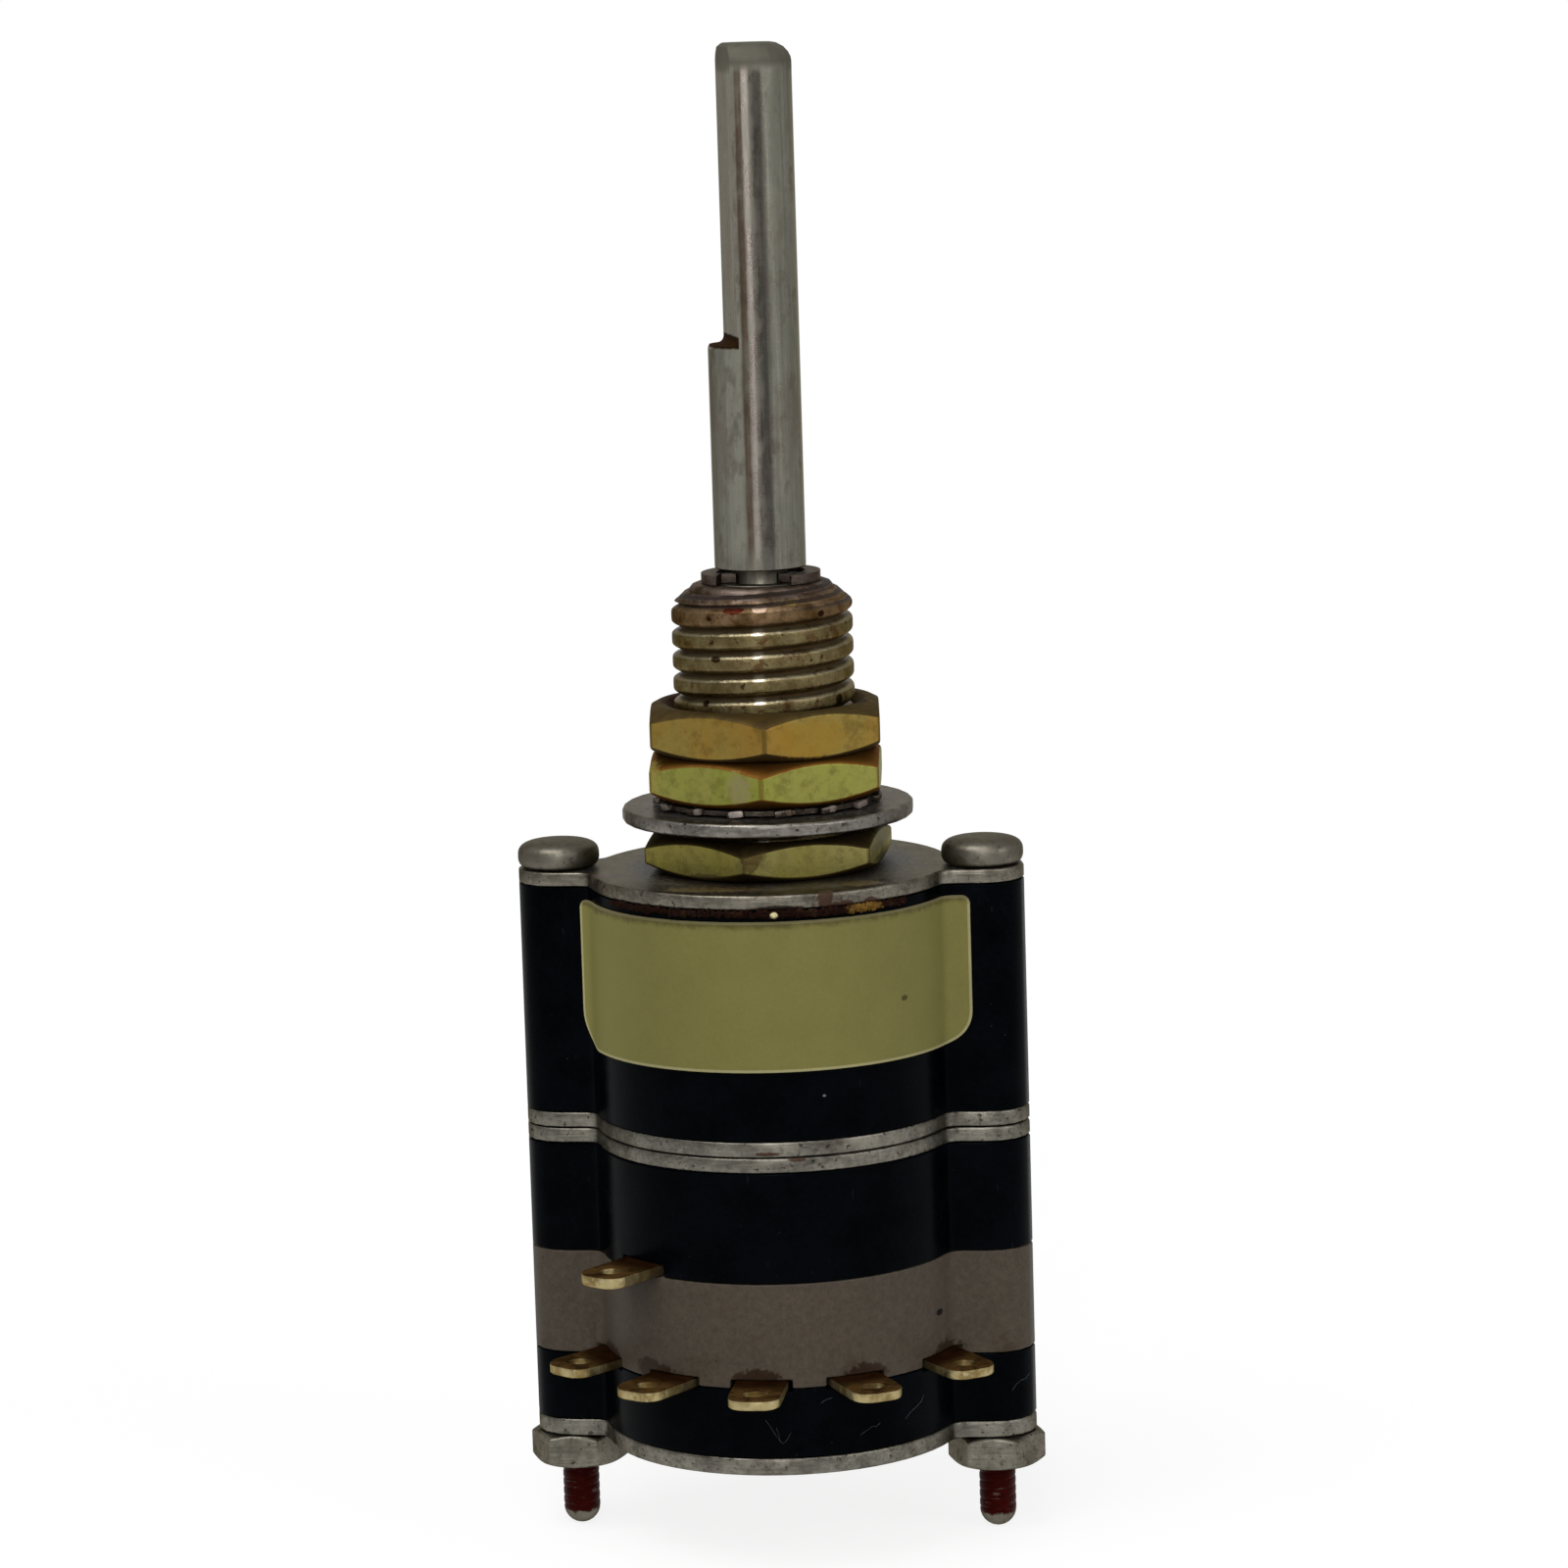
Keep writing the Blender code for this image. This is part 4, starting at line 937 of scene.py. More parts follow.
def taupe_moulding():
    finish = Finish("grey_moulding")
    place = finish.place()
    mottle = finish.noise(place, 3.6, 5.0, 0.65)
    grain = finish.noise(place, 10.0, 3.0)
    specks = finish.step(finish.noise(place, 3.0, 1.0), 0.80, 0.82)
    low = 1 - finish.step(finish.axes(place)[2], -17.2, -15.6)
    grime = finish.step(finish.noise(finish.place((1.0, 1.0, 1.6)), 0.6, 5.0), 0.52, 0.72)
    shades = finish.step(mottle * 0.6 + grain * 0.4, 0.3, 0.7)
    colour = finish.mix(shades, srgb(74, 66, 58), srgb(88, 80, 70))
    colour = finish.mix(grime * (low * 0.4 + 0.10), colour, srgb(54, 42, 26))
    for root in LUG_ROOTS:
        stain = finish.spot(place, (*root, LUG_LEVEL), (0.95, 0.95, 0.48), 0.7)
        colour = finish.mix(stain * 0.80, colour, srgb(42, 25, 12))
    colour = finish.mix(specks * 0.8, colour, srgb(24, 18, 14))
    pinhole = finish.spot(place, (5.83, -2.52, -15.44), (0.15, 0.30, 0.13), 0.1)
    colour = finish.mix(pinhole * 0.95, colour, srgb(10, 6, 4))
    return finish.done(
        Base_Color=colour,
        Roughness=mottle * 0.2 + 0.40,
        Specular_IOR_Level=0.10,
        Normal=finish.bump(grain * 0.6 + mottle * 0.4 - pinhole, 0.02, 0.5),
    )


def natural_moulding():
    finish = Finish("natural_moulding")
    mottle = finish.noise(finish.place(), 1.2, 4.0)
    colour = finish.mix(mottle, (0.50, 0.47, 0.40), (0.62, 0.59, 0.52))
    return finish.done(Base_Color=colour, Roughness=mottle * 0.2 + 0.35)


taupe_finish = taupe_moulding()
acetal_finish = natural_moulding()

# %% [markdown]
# ## The label's film
#
# The label is a dull yellow film, left bare. It has painted light at its left end, which turns
# away from the lamps, grime from the plate has run on to its top edge, and one dark dot sits on
# the right. Its cut rim shows the lighter core, which is the same recipe in a paler tone, so that
# both share their clouds.

# %% Label film
LABEL_GRIME = -0.96             # the grime reaches down from this height


def label_film(name, tone):
    finish = Finish(name)
    place = finish.place()
    x, _, height = finish.axes(place)
    cloud = finish.noise(place, 0.6, 5.0, 0.6)
    fibre = finish.noise(place, 7.0, 4.0, 0.7)
    colour = finish.mix(cloud * 0.5 + fibre * 0.5, scaled(tone, 0.84), scaled(tone, 1.40))
    # painted light: the left end, which turns away from the lamps, is painted paler
    paled = 1 - finish.step(x, -6.4, -3.4)
    colour = finish.mix(paled * 0.5, colour, scaled(tone, 1.75))
    ragged = height + (finish.noise(place, 2.4, 5.0, 0.7) - 0.5) * 0.5
    top = finish.step(ragged, LABEL_GRIME - 0.26, LABEL_GRIME)
    colour = finish.mix(top * 0.62, colour, srgb(58, 48, 24))
    dot = finish.spot(place, (5.05, -3.99, -3.99), (0.13, 0.2, 0.11), 0.15)
    colour = finish.mix(dot * 0.75, colour, srgb(46, 42, 24))
    return finish.done(
        Base_Color=colour,
        Roughness=fibre * 0.2 + 0.45,
        Specular_IOR_Level=0.12,
        Normal=finish.bump(fibre * 0.3 + cloud * 0.7, 0.05, 0.35),
    )


label_finish = label_film("label_film", srgb(117, 113, 66))
label_rim_finish = label_film("label_rim", srgb(154, 148, 108))

# %% [markdown]
# ## Crust and lint
#
# Old flux has dried to a dark crust under the top plate, amber in one place, with one pale
# grain. Lint is grey and has hardly any shine. Both could be stains in the housing's material,
# but the crust stands proud of it and catches the light, so they are real pieces with finishes
# of their own.

# %% Crust and lint finishes
def crust_finish():
    finish = Finish("crust")
    place = finish.place()
    lumps = finish.noise(place, 2.6, 4.0)
    flakes = finish.step(finish.noise(place, 1.9, 4.0, 0.7), 0.56, 0.64)
    amber = finish.spot(place, (3.95, -5.15, -0.68), (0.75, 0.75, 0.30), 0.5)
    colour = finish.mix(lumps, srgb(10, 5, 4), srgb(40, 22, 14))
    colour = finish.mix(flakes * 0.4, colour, srgb(60, 42, 28))
    colour = finish.mix(amber * 0.8, colour, srgb(112, 84, 40))
    pale = finish.spot(place, (0.95, -6.40, -0.66), (0.14, 0.3, 0.12), 0.1)
    colour = finish.mix(pale, colour, srgb(206, 196, 150))
    return finish.done(
        Base_Color=colour,
        Roughness=lumps * 0.3 + 0.45,
        Specular_IOR_Level=0.04,
        Normal=finish.bump(lumps, 0.04, 0.5),
    )


def lint_finish():
    finish = Finish("lint")
    fluff = finish.noise(finish.place(), 3.0, 3.0)
    colour = finish.mix(fluff, srgb(46, 52, 56), srgb(92, 98, 100))
    return finish.done(Base_Color=colour, Roughness=fluff * 0.2 + 0.7, Specular_IOR_Level=0.1)


crust_material = crust_finish()
lint_material = lint_finish()

# %% [markdown]
# ## The stack
#
# Eight layers share one outline. They could be one body with grooves between them, but then no
# layer could be swapped or lifted off. The punched plates get a rounder edge than the
# mouldings, and the divider pair stays two separate plates, so that a dark line runs between
# them.

# %% The stack
PLATE_EDGE = 0.09 * MM
MOULD_EDGE = 0.06 * MM

dress("top_plate", PLATE_EDGE, top_plate_finish, 3)
for node in ("divider_plate_upper", "divider_plate_lower", "bottom_plate"):
    dress(node, PLATE_EDGE, plate_finish, 3)
for node in ("detent_housing", "upper_wafer", "lower_wafer"):
    dress(node, MOULD_EDGE, black_finish)
dress("spacer_wafer", MOULD_EDGE, taupe_finish)

# %% [markdown]
# ## Turning on a lathe
#
# Most of the small parts are turned, so they are modelled as they are made: a half profile is
# drawn point by point in the XZ plane, then swept round the Z axis. Stacked cylinders would be
# quicker for one step, but a profile holds every chamfer and groove in one list. Drawing starts
# from a triangle that is merged into a single point, and each extrusion adds the next corner.

# %% Lathe
CLOSE = 0.0004 * MM             # points nearer than this become one
TURN = 2 * math.pi


def millimetres(points):
    """Profile points (radius, height) in millimetres, as places in the XZ plane."""
    return [Vector((radius, 0, height)) * MM for radius, height in points]


def draw(name, points):
    """A chain of edges through these places."""
    bpy.ops.object.select_all(action="DESELECT")
    bpy.ops.mesh.primitive_circle_add(vertices=3, radius=MM)
    piece = bpy.context.active_object
    piece.name = name
    edit(piece)
    bpy.ops.mesh.merge(type="CENTER")
    here = Vector((0, 0, 0))
    for index, there in enumerate(points):
        if index == 0:
            bpy.ops.transform.translate(value=there)
        else:
            move = {"value": there - here}
            bpy.ops.mesh.extrude_vertices_move(TRANSFORM_OT_translate=move)
        here = there
    leave_edit()
    return piece


def clean(piece):
    """Merges doubled points and turns every face outwards."""
    edit(piece)
    bpy.ops.mesh.remove_doubles(threshold=CLOSE)
    bpy.ops.mesh.normals_make_consistent(inside=False)
    leave_edit()


def lathe(name, points, steps=72):
    piece = draw(name, points)
    apply(piece, "SCREW", angle=TURN, steps=steps, render_steps=steps)
    clean(piece)
    return piece


def combine(piece, tool, operation="DIFFERENCE"):
    """Cuts a piece with a tool, or joins or trims it, and removes the tool."""
    apply(piece, "BOOLEAN", operation=operation, object=tool, solver="EXACT")
    bpy.data.objects.remove(tool)


def shift(piece, move):
    """Moves a piece's mesh, and leaves its object at the origin."""
    edit(piece)
    bpy.ops.transform.translate(value=move)
    leave_edit()


print("turned pieces: points nearer than", round(CLOSE / MM, 4), "mm become one")

# %% [markdown]
# ## Cutting a thread
#
# A thread could be a stack of rings, which is lighter, but rings don't climb and a close look
# gives them away. So it is cut here as on a lathe: one closed groove profile climbs a helix,
# and the Boolean takes it out of the turned blank. The groove has a round root, and its flanks
# flare at the crest, which leaves the crests rounded as if they were worn.

# %% Thread cutter
GROOVE = (                      # half of it: share of the depth, and share of the pitch
    (0.00, 0.000),
    (0.08, 0.040),
    (0.35, 0.085),
    (0.60, 0.135),
    (0.80, 0.190),
    (0.91, 0.235),
    (0.965, 0.275),
    (0.99, 0.320),
    (1.00, 0.390),
    (1.30, 0.400),
)


def cut_thread(piece, crest, depth, pitch, start, turns, steps=64):
    """Cuts a right-hand thread. Start is the groove's height over +X, on its first turn."""
    upper = [(crest - depth + depth * out, start + pitch * up) for out, up in GROOVE]
    lower = [(radius, 2 * start - height) for radius, height in reversed(upper)]
    loop = [Vector((radius, 0, height)) for radius, height in upper + lower[:-1] + upper[:1]]
    cutter = draw("thread_cutter", loop)
    apply(
        cutter,
        "SCREW",
        angle=TURN,
        screw_offset=pitch,
        iterations=turns,
        steps=steps,
        render_steps=steps,
    )
    clean(cutter)
    edit(cutter)
    bpy.ops.mesh.fill_holes(sides=2 * len(GROOVE) + 20)
    bpy.ops.mesh.normals_make_consistent(inside=False)
    leave_edit()
    combine(piece, cutter)


print("the groove takes", round(2 * GROOVE[-2][1] * 100), "% of the pitch at the crests")

# %% [markdown]
# ## The bushing
#
# The bushing holds the switch in its panel. It has a flange below the top plate, a long thread
# and a stepped lead-in at its end, where turning left small ledges. The steps could be stains
# in the material, but they break the outline against the white, so they are in the profile.
# The thread runs out in them, and it starts low down, behind the nuts.

# %% Bushing
BORE = 1.6275
BORE_CHAMFER = 0.10
FLANGE_RADIUS = 4.30
FLANGE_HEIGHT = 0.70
FLANGE_EDGE = 0.06
LEAD_IN = (                     # radius, and height from the bushing's end
    (THREAD_CREST, -0.76),
    (3.10, -0.66),
    (2.97, -0.54),
    (2.91, -0.55),
    (2.88, -0.47),
    (2.68, -0.28),
    (2.57, -0.23),
    (2.51, -0.25),
    (2.49, -0.16),
    (2.40, -0.05),
    (2.26, 0.0),
)
THREAD_START = 0.924
THREAD_TURNS = 12

bushing_low, bushing_high = (corner.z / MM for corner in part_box("bushing"))
flange_top = bushing_low + FLANGE_HEIGHT
bushing = lathe("bushing", millimetres([
    (BORE, bushing_low),
    (FLANGE_RADIUS - FLANGE_EDGE, bushing_low),
    (FLANGE_RADIUS, bushing_low + FLANGE_EDGE),
    (FLANGE_RADIUS, flange_top - FLANGE_EDGE),
    (FLANGE_RADIUS - FLANGE_EDGE, flange_top),
    (THREAD_CREST, flange_top),
    *((radius, bushing_high + drop) for radius, drop in LEAD_IN),
    (BORE + BORE_CHAMFER, bushing_high),
    (BORE, bushing_high - BORE_CHAMFER),
    (BORE, bushing_low),
]), 96)
cut_thread(
    bushing,
    THREAD_CREST * MM,
    THREAD_DEPTH * MM,
    THREAD_LEAD * MM,
    THREAD_START * MM,
    THREAD_TURNS,
)
shade(bushing)
wear(bushing, bushing_finish, "bushing")

# %% [markdown]
# ## Hexagon nuts
#
# A nut starts as a hexagon bar. A bevel on its corners would give straight shoulders, but real
# ones are arcs, because the bar's end is turned to a shallow cone. So the bar is trimmed with a
# turned cone, which draws those arcs by itself, and is then bored and countersunk with another
# turned tool.

# %% Nuts
FACE_SHARE = 0.955              # of a nut's flats, that its round face takes
NUT_EDGE = 0.07 * MM
PANEL_FLATS = 7.9375
TIE_FLATS = 3.02
NUT_BORE = THREAD_CREST + 0.03
TIE_BORE = 0.675
OVER = 0.3                      # how far a turned tool reaches past the nut


def doubled(half, height):
    """A profile that is the same from both ends of a nut of this height."""
    return half + [(radius, height - level) for radius, level in reversed(half)]


def make_nut(node, flats, turned_by, slope, bore, mouth, taller=0.0):
    """A nut in a packed nut's place, in millimetres. Its shoulders fall by slope per 1."""
    low, high = (corner.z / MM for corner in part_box(node))
    height = high - low + taller
    corner = flats / math.sqrt(3)
    bpy.ops.object.select_all(action="DESELECT")
    bpy.ops.mesh.primitive_cylinder_add(
        vertices=6,
        radius=corner * MM,
        depth=height * MM,
        location=(0, 0, height / 2 * MM),
        rotation=(0, 0, math.radians(turned_by)),
    )
    nut = settle()
    reach = corner + OVER
    face = flats / 2 * FACE_SHARE
    half = [(0, -OVER), (face, -OVER), (face, 0), (reach, (reach - face) * slope)]
    combine(nut, lathe("cone", millimetres(doubled(half, height)), 144), "INTERSECT")
    half = [(0, -OVER), (bore + mouth + OVER, -OVER), (bore, mouth)]
    combine(nut, lathe("hole", millimetres(doubled(half, height)), 72))
    clean(nut)
    soften(nut, NUT_EDGE, 3)
    middle = (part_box(node)[0].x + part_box(node)[1].x) / 2
    shift(nut, (middle, 0, low * MM))
    return nut


for node, turned_by, taller, finish in (
    ("panel_nut_upper", UPPER_TURN, 0.12, upper_nut_finish),
    ("panel_nut_lower", LOWER_TURN, 0.0, lower_nut_finish),
    ("depth_nut", DEPTH_TURN, 0.0, depth_nut_finish),
):
    nut = make_nut(node, PANEL_FLATS, turned_by, 0.52, NUT_BORE, 0.30, taller)
    wear(nut, finish, node)
for node in ("tie_nut_left", "tie_nut_right"):
    nut = make_nut(node, TIE_FLATS, 30, 0.5, TIE_BORE, 0.10)
    wear(nut, nut_steel_finish, node)

# %% [markdown]
# ## The washers
#
# The flat washer is punched, so its edge is rolled. The lock washer under the nut is a thin
# ring with short blocks outside and twisted teeth inside, which bite into the nut. It could be
# cut as one outline and its teeth turned one by one. It is quicker to model one block and one
# tooth, and to copy them round the ring.

# %% Washers
WASHER_EDGE = 0.13 * MM
LOCK_HALF = 0.08                # half of the lock washer's thickness
LOCK_INNER = 3.52               # radii of its ring
LOCK_OUTER = 3.80
LOCK_TURN = math.radians(-3)
BLOCKS = 15
TEETH = 12

dress("flat_washer", WASHER_EDGE, washer_finish, 4)


def tooth(radius, size, twist, height):
    """One twisted tooth on the +X side, with its middle at this radius, in millimetres."""
    bpy.ops.object.select_all(action="DESELECT")
    bpy.ops.mesh.primitive_cube_add(
        size=1,
        location=Vector((radius, 0, height)) * MM,
        rotation=(math.radians(twist), 0, 0),
        scale=Vector(size) * MM,
    )
    made = settle()
    apply(made, "BEVEL", width=0.03 * MM, segments=2)
    return made


def round_the_axis(piece, count):
    """Copies of a piece, each with a mesh of its own, at even turns round the switch's axis."""
    copies = [piece]
    for index in range(1, count):
        select_only(piece)
        bpy.ops.object.duplicate()
        copy = bpy.context.active_object
        turn_mesh(copy, index * TURN / count)
        copies.append(copy)
    return copies


def join(first, others):
    select_only(first)
    for other in others:
        other.select_set(True)
    bpy.ops.object.join()
    return first


lock_middle = sum(corner.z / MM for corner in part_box("lock_washer")) / 2
ring = lathe("lock_ring", millimetres([
    (LOCK_INNER, lock_middle - LOCK_HALF),
    (LOCK_OUTER, lock_middle - LOCK_HALF),
    (LOCK_OUTER, lock_middle + LOCK_HALF),
    (LOCK_INNER, lock_middle + LOCK_HALF),
    (LOCK_INNER, lock_middle - LOCK_HALF),
]))
outer = tooth(LOCK_OUTER + 0.04, (0.32, 0.58, 0.22), 6, lock_middle)
inner = tooth(LOCK_INNER - 0.12, (0.36, 0.60, 0.12), -16, lock_middle)
lock = join(ring, round_the_axis(outer, BLOCKS) + round_the_axis(inner, TEETH))
turn_mesh(lock, LOCK_TURN)
shade(lock)
wear(lock, lock_finish, "lock_washer")

# %% [markdown]
# ## The shaft
#
# The shaft is one turned bar, from the knob's end down to the journal that turns in the lower
# wafer. Its end has a soft shoulder, and a groove above the bushing takes the retaining ring.
# The profile has all of these, so that nothing has to be joined to it afterwards.

# %% Shaft
SHAFT_RADIUS = 1.5875
SHAFT_END = (                   # radius, and height from the shaft's end
    (0, 0.0),
    (0.90, 0.0),
    (1.08, -0.035),
    (1.32, -0.17),
    (1.49, -0.36),
    (1.565, -0.52),
    (SHAFT_RADIUS, -0.66),
)
GROOVE_RADIUS = 0.95
GROOVE_CHAMFER = 0.05
JOURNAL_RADIUS = 1.05
JOURNAL_TOP = -17.01
JOURNAL_CHAMFER = 0.10

shaft_low, shaft_high = (corner.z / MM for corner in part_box("shaft"))
shaft = lathe("shaft", millimetres([
    *((radius, shaft_high + drop) for radius, drop in SHAFT_END),
    (SHAFT_RADIUS, GROOVE_TOP + GROOVE_CHAMFER),
    (SHAFT_RADIUS - GROOVE_CHAMFER, GROOVE_TOP),
    (GROOVE_RADIUS, GROOVE_TOP),
    (GROOVE_RADIUS, GROOVE_BOTTOM),
    (SHAFT_RADIUS - GROOVE_CHAMFER, GROOVE_BOTTOM),
    (SHAFT_RADIUS, GROOVE_BOTTOM - GROOVE_CHAMFER),
    (SHAFT_RADIUS, JOURNAL_TOP),
    (JOURNAL_RADIUS, JOURNAL_TOP),
    (JOURNAL_RADIUS, shaft_low + JOURNAL_CHAMFER),
    (JOURNAL_RADIUS - JOURNAL_CHAMFER, shaft_low),
    (0, shaft_low),
]), 96)
print("shaft, in mm:", round(shaft_high - shaft_low, 2), "long")

# %% [markdown]
# ## Milling the flats
#
# The knob's screw bears on a flat, which a milling cutter left with a small hollow at its lower
# end. Two more flats inside the switch drive the rotors. Points of the shaft could be pushed
# flat by hand, but a round bar has none where the flat ends. A box with rounded edges is the
# cutter here, and the Boolean leaves the same hollow. Handling has blunted two corners.

# %% Milling
CUTTER_REACH = 3.0              # how far a cutter reaches outwards
LEDGE_CUT = 0.17                # off the ledge's outer corner, below the knob flat
TIP_CUT = 0.14                  # off the flat's upper corner
DRIVE_TOP = -1.62
DRIVE_OUT = SHAFT_RADIUS - 0.48


def mill(piece, side, out, low, high, corner, width=6.0):
    """Cuts a flat on one side, in degrees from the front towards +X, this far out."""
    bpy.ops.object.select_all(action="DESELECT")
    bpy.ops.mesh.primitive_cube_add(
        size=1,
        location=(0, -(out + CUTTER_REACH / 2) * MM, (low + high) / 2 * MM),
        scale=(width * MM, CUTTER_REACH * MM, (high - low) * MM),
    )
    cutter = settle()
    apply(cutter, "BEVEL", width=corner * MM, segments=4)
    turn_mesh(cutter, math.radians(side))
    combine(piece, cutter)


def knock_off(piece, side, out, height, depth):
    """Takes a slanted cut off the corner that is this far out and this high."""
    size = 1.0
    middle = size / 2 / math.sqrt(2) - depth / 2
    bpy.ops.object.select_all(action="DESELECT")
    bpy.ops.mesh.primitive_cube_add(
        size=size * MM,
        location=(0, -(out + middle) * MM, (height + middle) * MM),
        rotation=(math.pi / 4, 0, 0),
        scale=(3, 1, 1),
    )
    cutter = settle()
    turn_mesh(cutter, math.radians(side))
    combine(piece, cutter)


knob_side = math.degrees(FLAT_SIDE)
mill(shaft, knob_side, FLAT_AT, FLAT_BOTTOM, shaft_high + 1, 0.22)
knock_off(shaft, knob_side, FLAT_AT, shaft_high, TIP_CUT)
knock_off(shaft, knob_side, SHAFT_RADIUS, FLAT_BOTTOM, LEDGE_CUT)
for side in (0, 180):
    mill(shaft, side, DRIVE_OUT, JOURNAL_TOP - 0.02, DRIVE_TOP, 0.01)
soften(shaft, 0.035 * MM)
wear(shaft, shaft_finish, "shaft")

# %% [markdown]
# ## The retaining ring
#
# An open ring snaps into the shaft's groove and keeps it in the bushing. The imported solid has
# its prongs already. The real ring is bent open a little, so the copy is spread about the axis,
# its mouth is milled wider, and its edges are rounded after that, as grease rounds them.

# %% Retaining ring
RING_SPREAD = 1.05              # the open ring sits a little proud of its groove
RING_MOUTH = 2.56               # width of its opening
RING_EDGE = 0.15 * MM
MOUTH_SIDE = -2.6               # degrees from the front
MOUTH_OUT = 0.7

ring = dress("retaining_ring", 0.0, ring_finish)
edit(ring)
bpy.ops.transform.resize(value=(RING_SPREAD, RING_SPREAD, 1), center_override=(0, 0, 0))
leave_edit()
mill(
    ring, MOUTH_SIDE, MOUTH_OUT, GROOVE_BOTTOM - 0.5, GROOVE_TOP + 0.5, 0.05, RING_MOUTH
)
soften(ring, RING_EDGE, 4)

# %% [markdown]
# ## The tie bolts
#
# Each bolt has a soft, nearly square dome and a rounded tip. A squashed ball would make the
# dome too round, so its profile is a quarter circle with both axes raised to a power, which
# fills its shoulder out. The lower end carries a fine thread, which shows between the nut and
# the tip.

# %% Tie bolts
BOLT_RADIUS = 0.645
HEAD_RADIUS = 1.43
HEAD_EDGE = 0.36
HEAD_UNDERCUT = 0.26
HEAD_FULLNESS = 0.6             # power of the dome's curve: 1 is round, 0 is square
SEAT = 0.02
FINE_PITCH = 0.32               # of the bolts' thread
FINE_DEPTH = 0.022
FINE_START = -23.6
FINE_TURNS = 11
FINE_STEPS = 40

bolt_low, bolt_high = (corner.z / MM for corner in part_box("tie_bolt_left"))


def bolt_profile(steps=14):
    quarter = [math.pi / 2 * step / steps for step in range(steps + 1)]
    points = []
    for angle in quarter:
        out = HEAD_RADIUS * math.sin(angle) ** HEAD_FULLNESS
        up = max(math.cos(angle), 0) ** HEAD_FULLNESS
        points.append((out, HEAD_EDGE + (bolt_high - HEAD_EDGE) * up))
    for angle in quarter[2::2]:
        out = HEAD_RADIUS - HEAD_UNDERCUT * (1 - math.cos(angle))
        points.append((out, SEAT + (HEAD_EDGE - SEAT) * (1 - math.sin(angle))))
    points.append((BOLT_RADIUS, SEAT))
    tail = bolt_low + BOLT_RADIUS
    for angle in quarter[::2]:
        points.append((BOLT_RADIUS * math.cos(angle), tail - BOLT_RADIUS * math.sin(angle)))
    return points


for node in ("tie_bolt_left", "tie_bolt_right"):
    low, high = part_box(node)
    bolt = lathe(node, millimetres(bolt_profile()), 48)
    cut_thread(
        bolt,
        BOLT_RADIUS * MM,
        FINE_DEPTH * MM,
        FINE_PITCH * MM,
        FINE_START * MM,
        FINE_TURNS,
        FINE_STEPS,
    )
    shade(bolt)
    shift(bolt, ((low.x + high.x) / 2, 0, 0))
    wear(bolt, bolt_finish, node)

# %% [markdown]
# ## The lugs
#
# The terminals and the common terminal are stamped from brass strip and plated, so their
# edges are rolled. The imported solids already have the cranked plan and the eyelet, and drawing
# them again would gain nothing, so they only get their soft edges and their finish.

# %% Lugs
LUG_EDGE = 0.07 * MM

terminals = [name for name in sorted(frame["nodes"]) if name.startswith("terminal_")]
for node in ["common_terminal"] + terminals:
    dress(node, LUG_EDGE, gold_finish, 3)

# %% [markdown]
# ## The line that the label follows
#
# The film begins in the left hollow, which it bridges, goes round the body, dips into the right
# hollow and ends on that ear's flank. Shrinkwrapping it on to the housing would pull it into every
# corner, and real film doesn't stretch. So the line it follows is drawn in plan from arcs and
# made a curve, which bends the flat sheet later.

# %% Line of the label
BODY_RADIUS = 6.35
EAR_RADIUS = 1.44
EAR_FILLET = 0.55
FILM_LIFT = 0.055               # of the film's middle over the housing
FILM_FILLET = 1.30              # the film bridges the left hollow with a wider curve
STRAIGHT = 1.0                  # of the line along each ear's flank


def around(radius, start, end, steps, centre=(0, 0)):
    """Places in plan on an arc. An angle counts from the front, towards +X."""
    places = []
    for step in range(steps + 1):
        angle = start + (end - start) * step / steps
        x = centre[0] + radius * math.sin(angle)
        y = centre[1] - radius * math.cos(angle)
        places.append(Vector((x, y, 0)) * MM)
    return places


def hollow_corner(fillet):
    """Centre of a hollow corner in plan, and the angle at which it meets the body."""
    across = EAR_RADIUS + fillet
    along = math.sqrt((BODY_RADIUS + fillet) ** 2 - across**2)
    return along, across, math.atan2(along, across)


along, across, lean = hollow_corner(FILM_FILLET)
line = [Vector((-along - STRAIGHT, -EAR_RADIUS - FILM_LIFT, 0)) * MM]
line += around(FILM_FILLET - FILM_LIFT, math.pi, math.pi - lean, 16, (-along, -across))
body_start = -lean
along, across, lean = hollow_corner(EAR_FILLET)
line += around(BODY_RADIUS + FILM_LIFT, body_start, lean, 90)[1:]
line += around(EAR_FILLET - FILM_LIFT, math.pi + lean, math.pi, 12, (along, -across))[1:]
line.append(Vector((along + STRAIGHT, -EAR_RADIUS - FILM_LIFT, 0)) * MM)
line_length = sum((after - before).length for before, after in zip(line, line[1:]))

bend = draw("label_bend", line)
select_only(bend)
bpy.ops.object.convert(target="CURVE")
bend.data.dimensions = "2D"
if bend.data.splines[0].points[0].co.x > 0:
    bpy.ops.object.mode_set(mode="EDIT")
    bpy.ops.curve.select_all(action="SELECT")
    bpy.ops.curve.switch_direction()
    bpy.ops.object.mode_set(mode="OBJECT")
print("the line is", round(line_length / MM, 2), "mm long")

# %% [markdown]
# ## The label, cut flat
#
# The label is made as the real one was: a flat rectangle with round corners and a narrow rim.
# It could be cut from the housing's own faces, but a sheet of its own keeps its thickness and
# its soft corners. Close vertical cuts will let it bend.

# %% Label
LABEL_LEFT = -0.72              # how far it reaches on to each ear's flank; below 0, it
                                # ends short of the flank
LABEL_RIGHT = 0.53
TOP_CORNER = 0.28
BOTTOM_CORNERS = (1.30, 1.15)   # the left one and the right one
RIM = 0.09
CUTS = 110

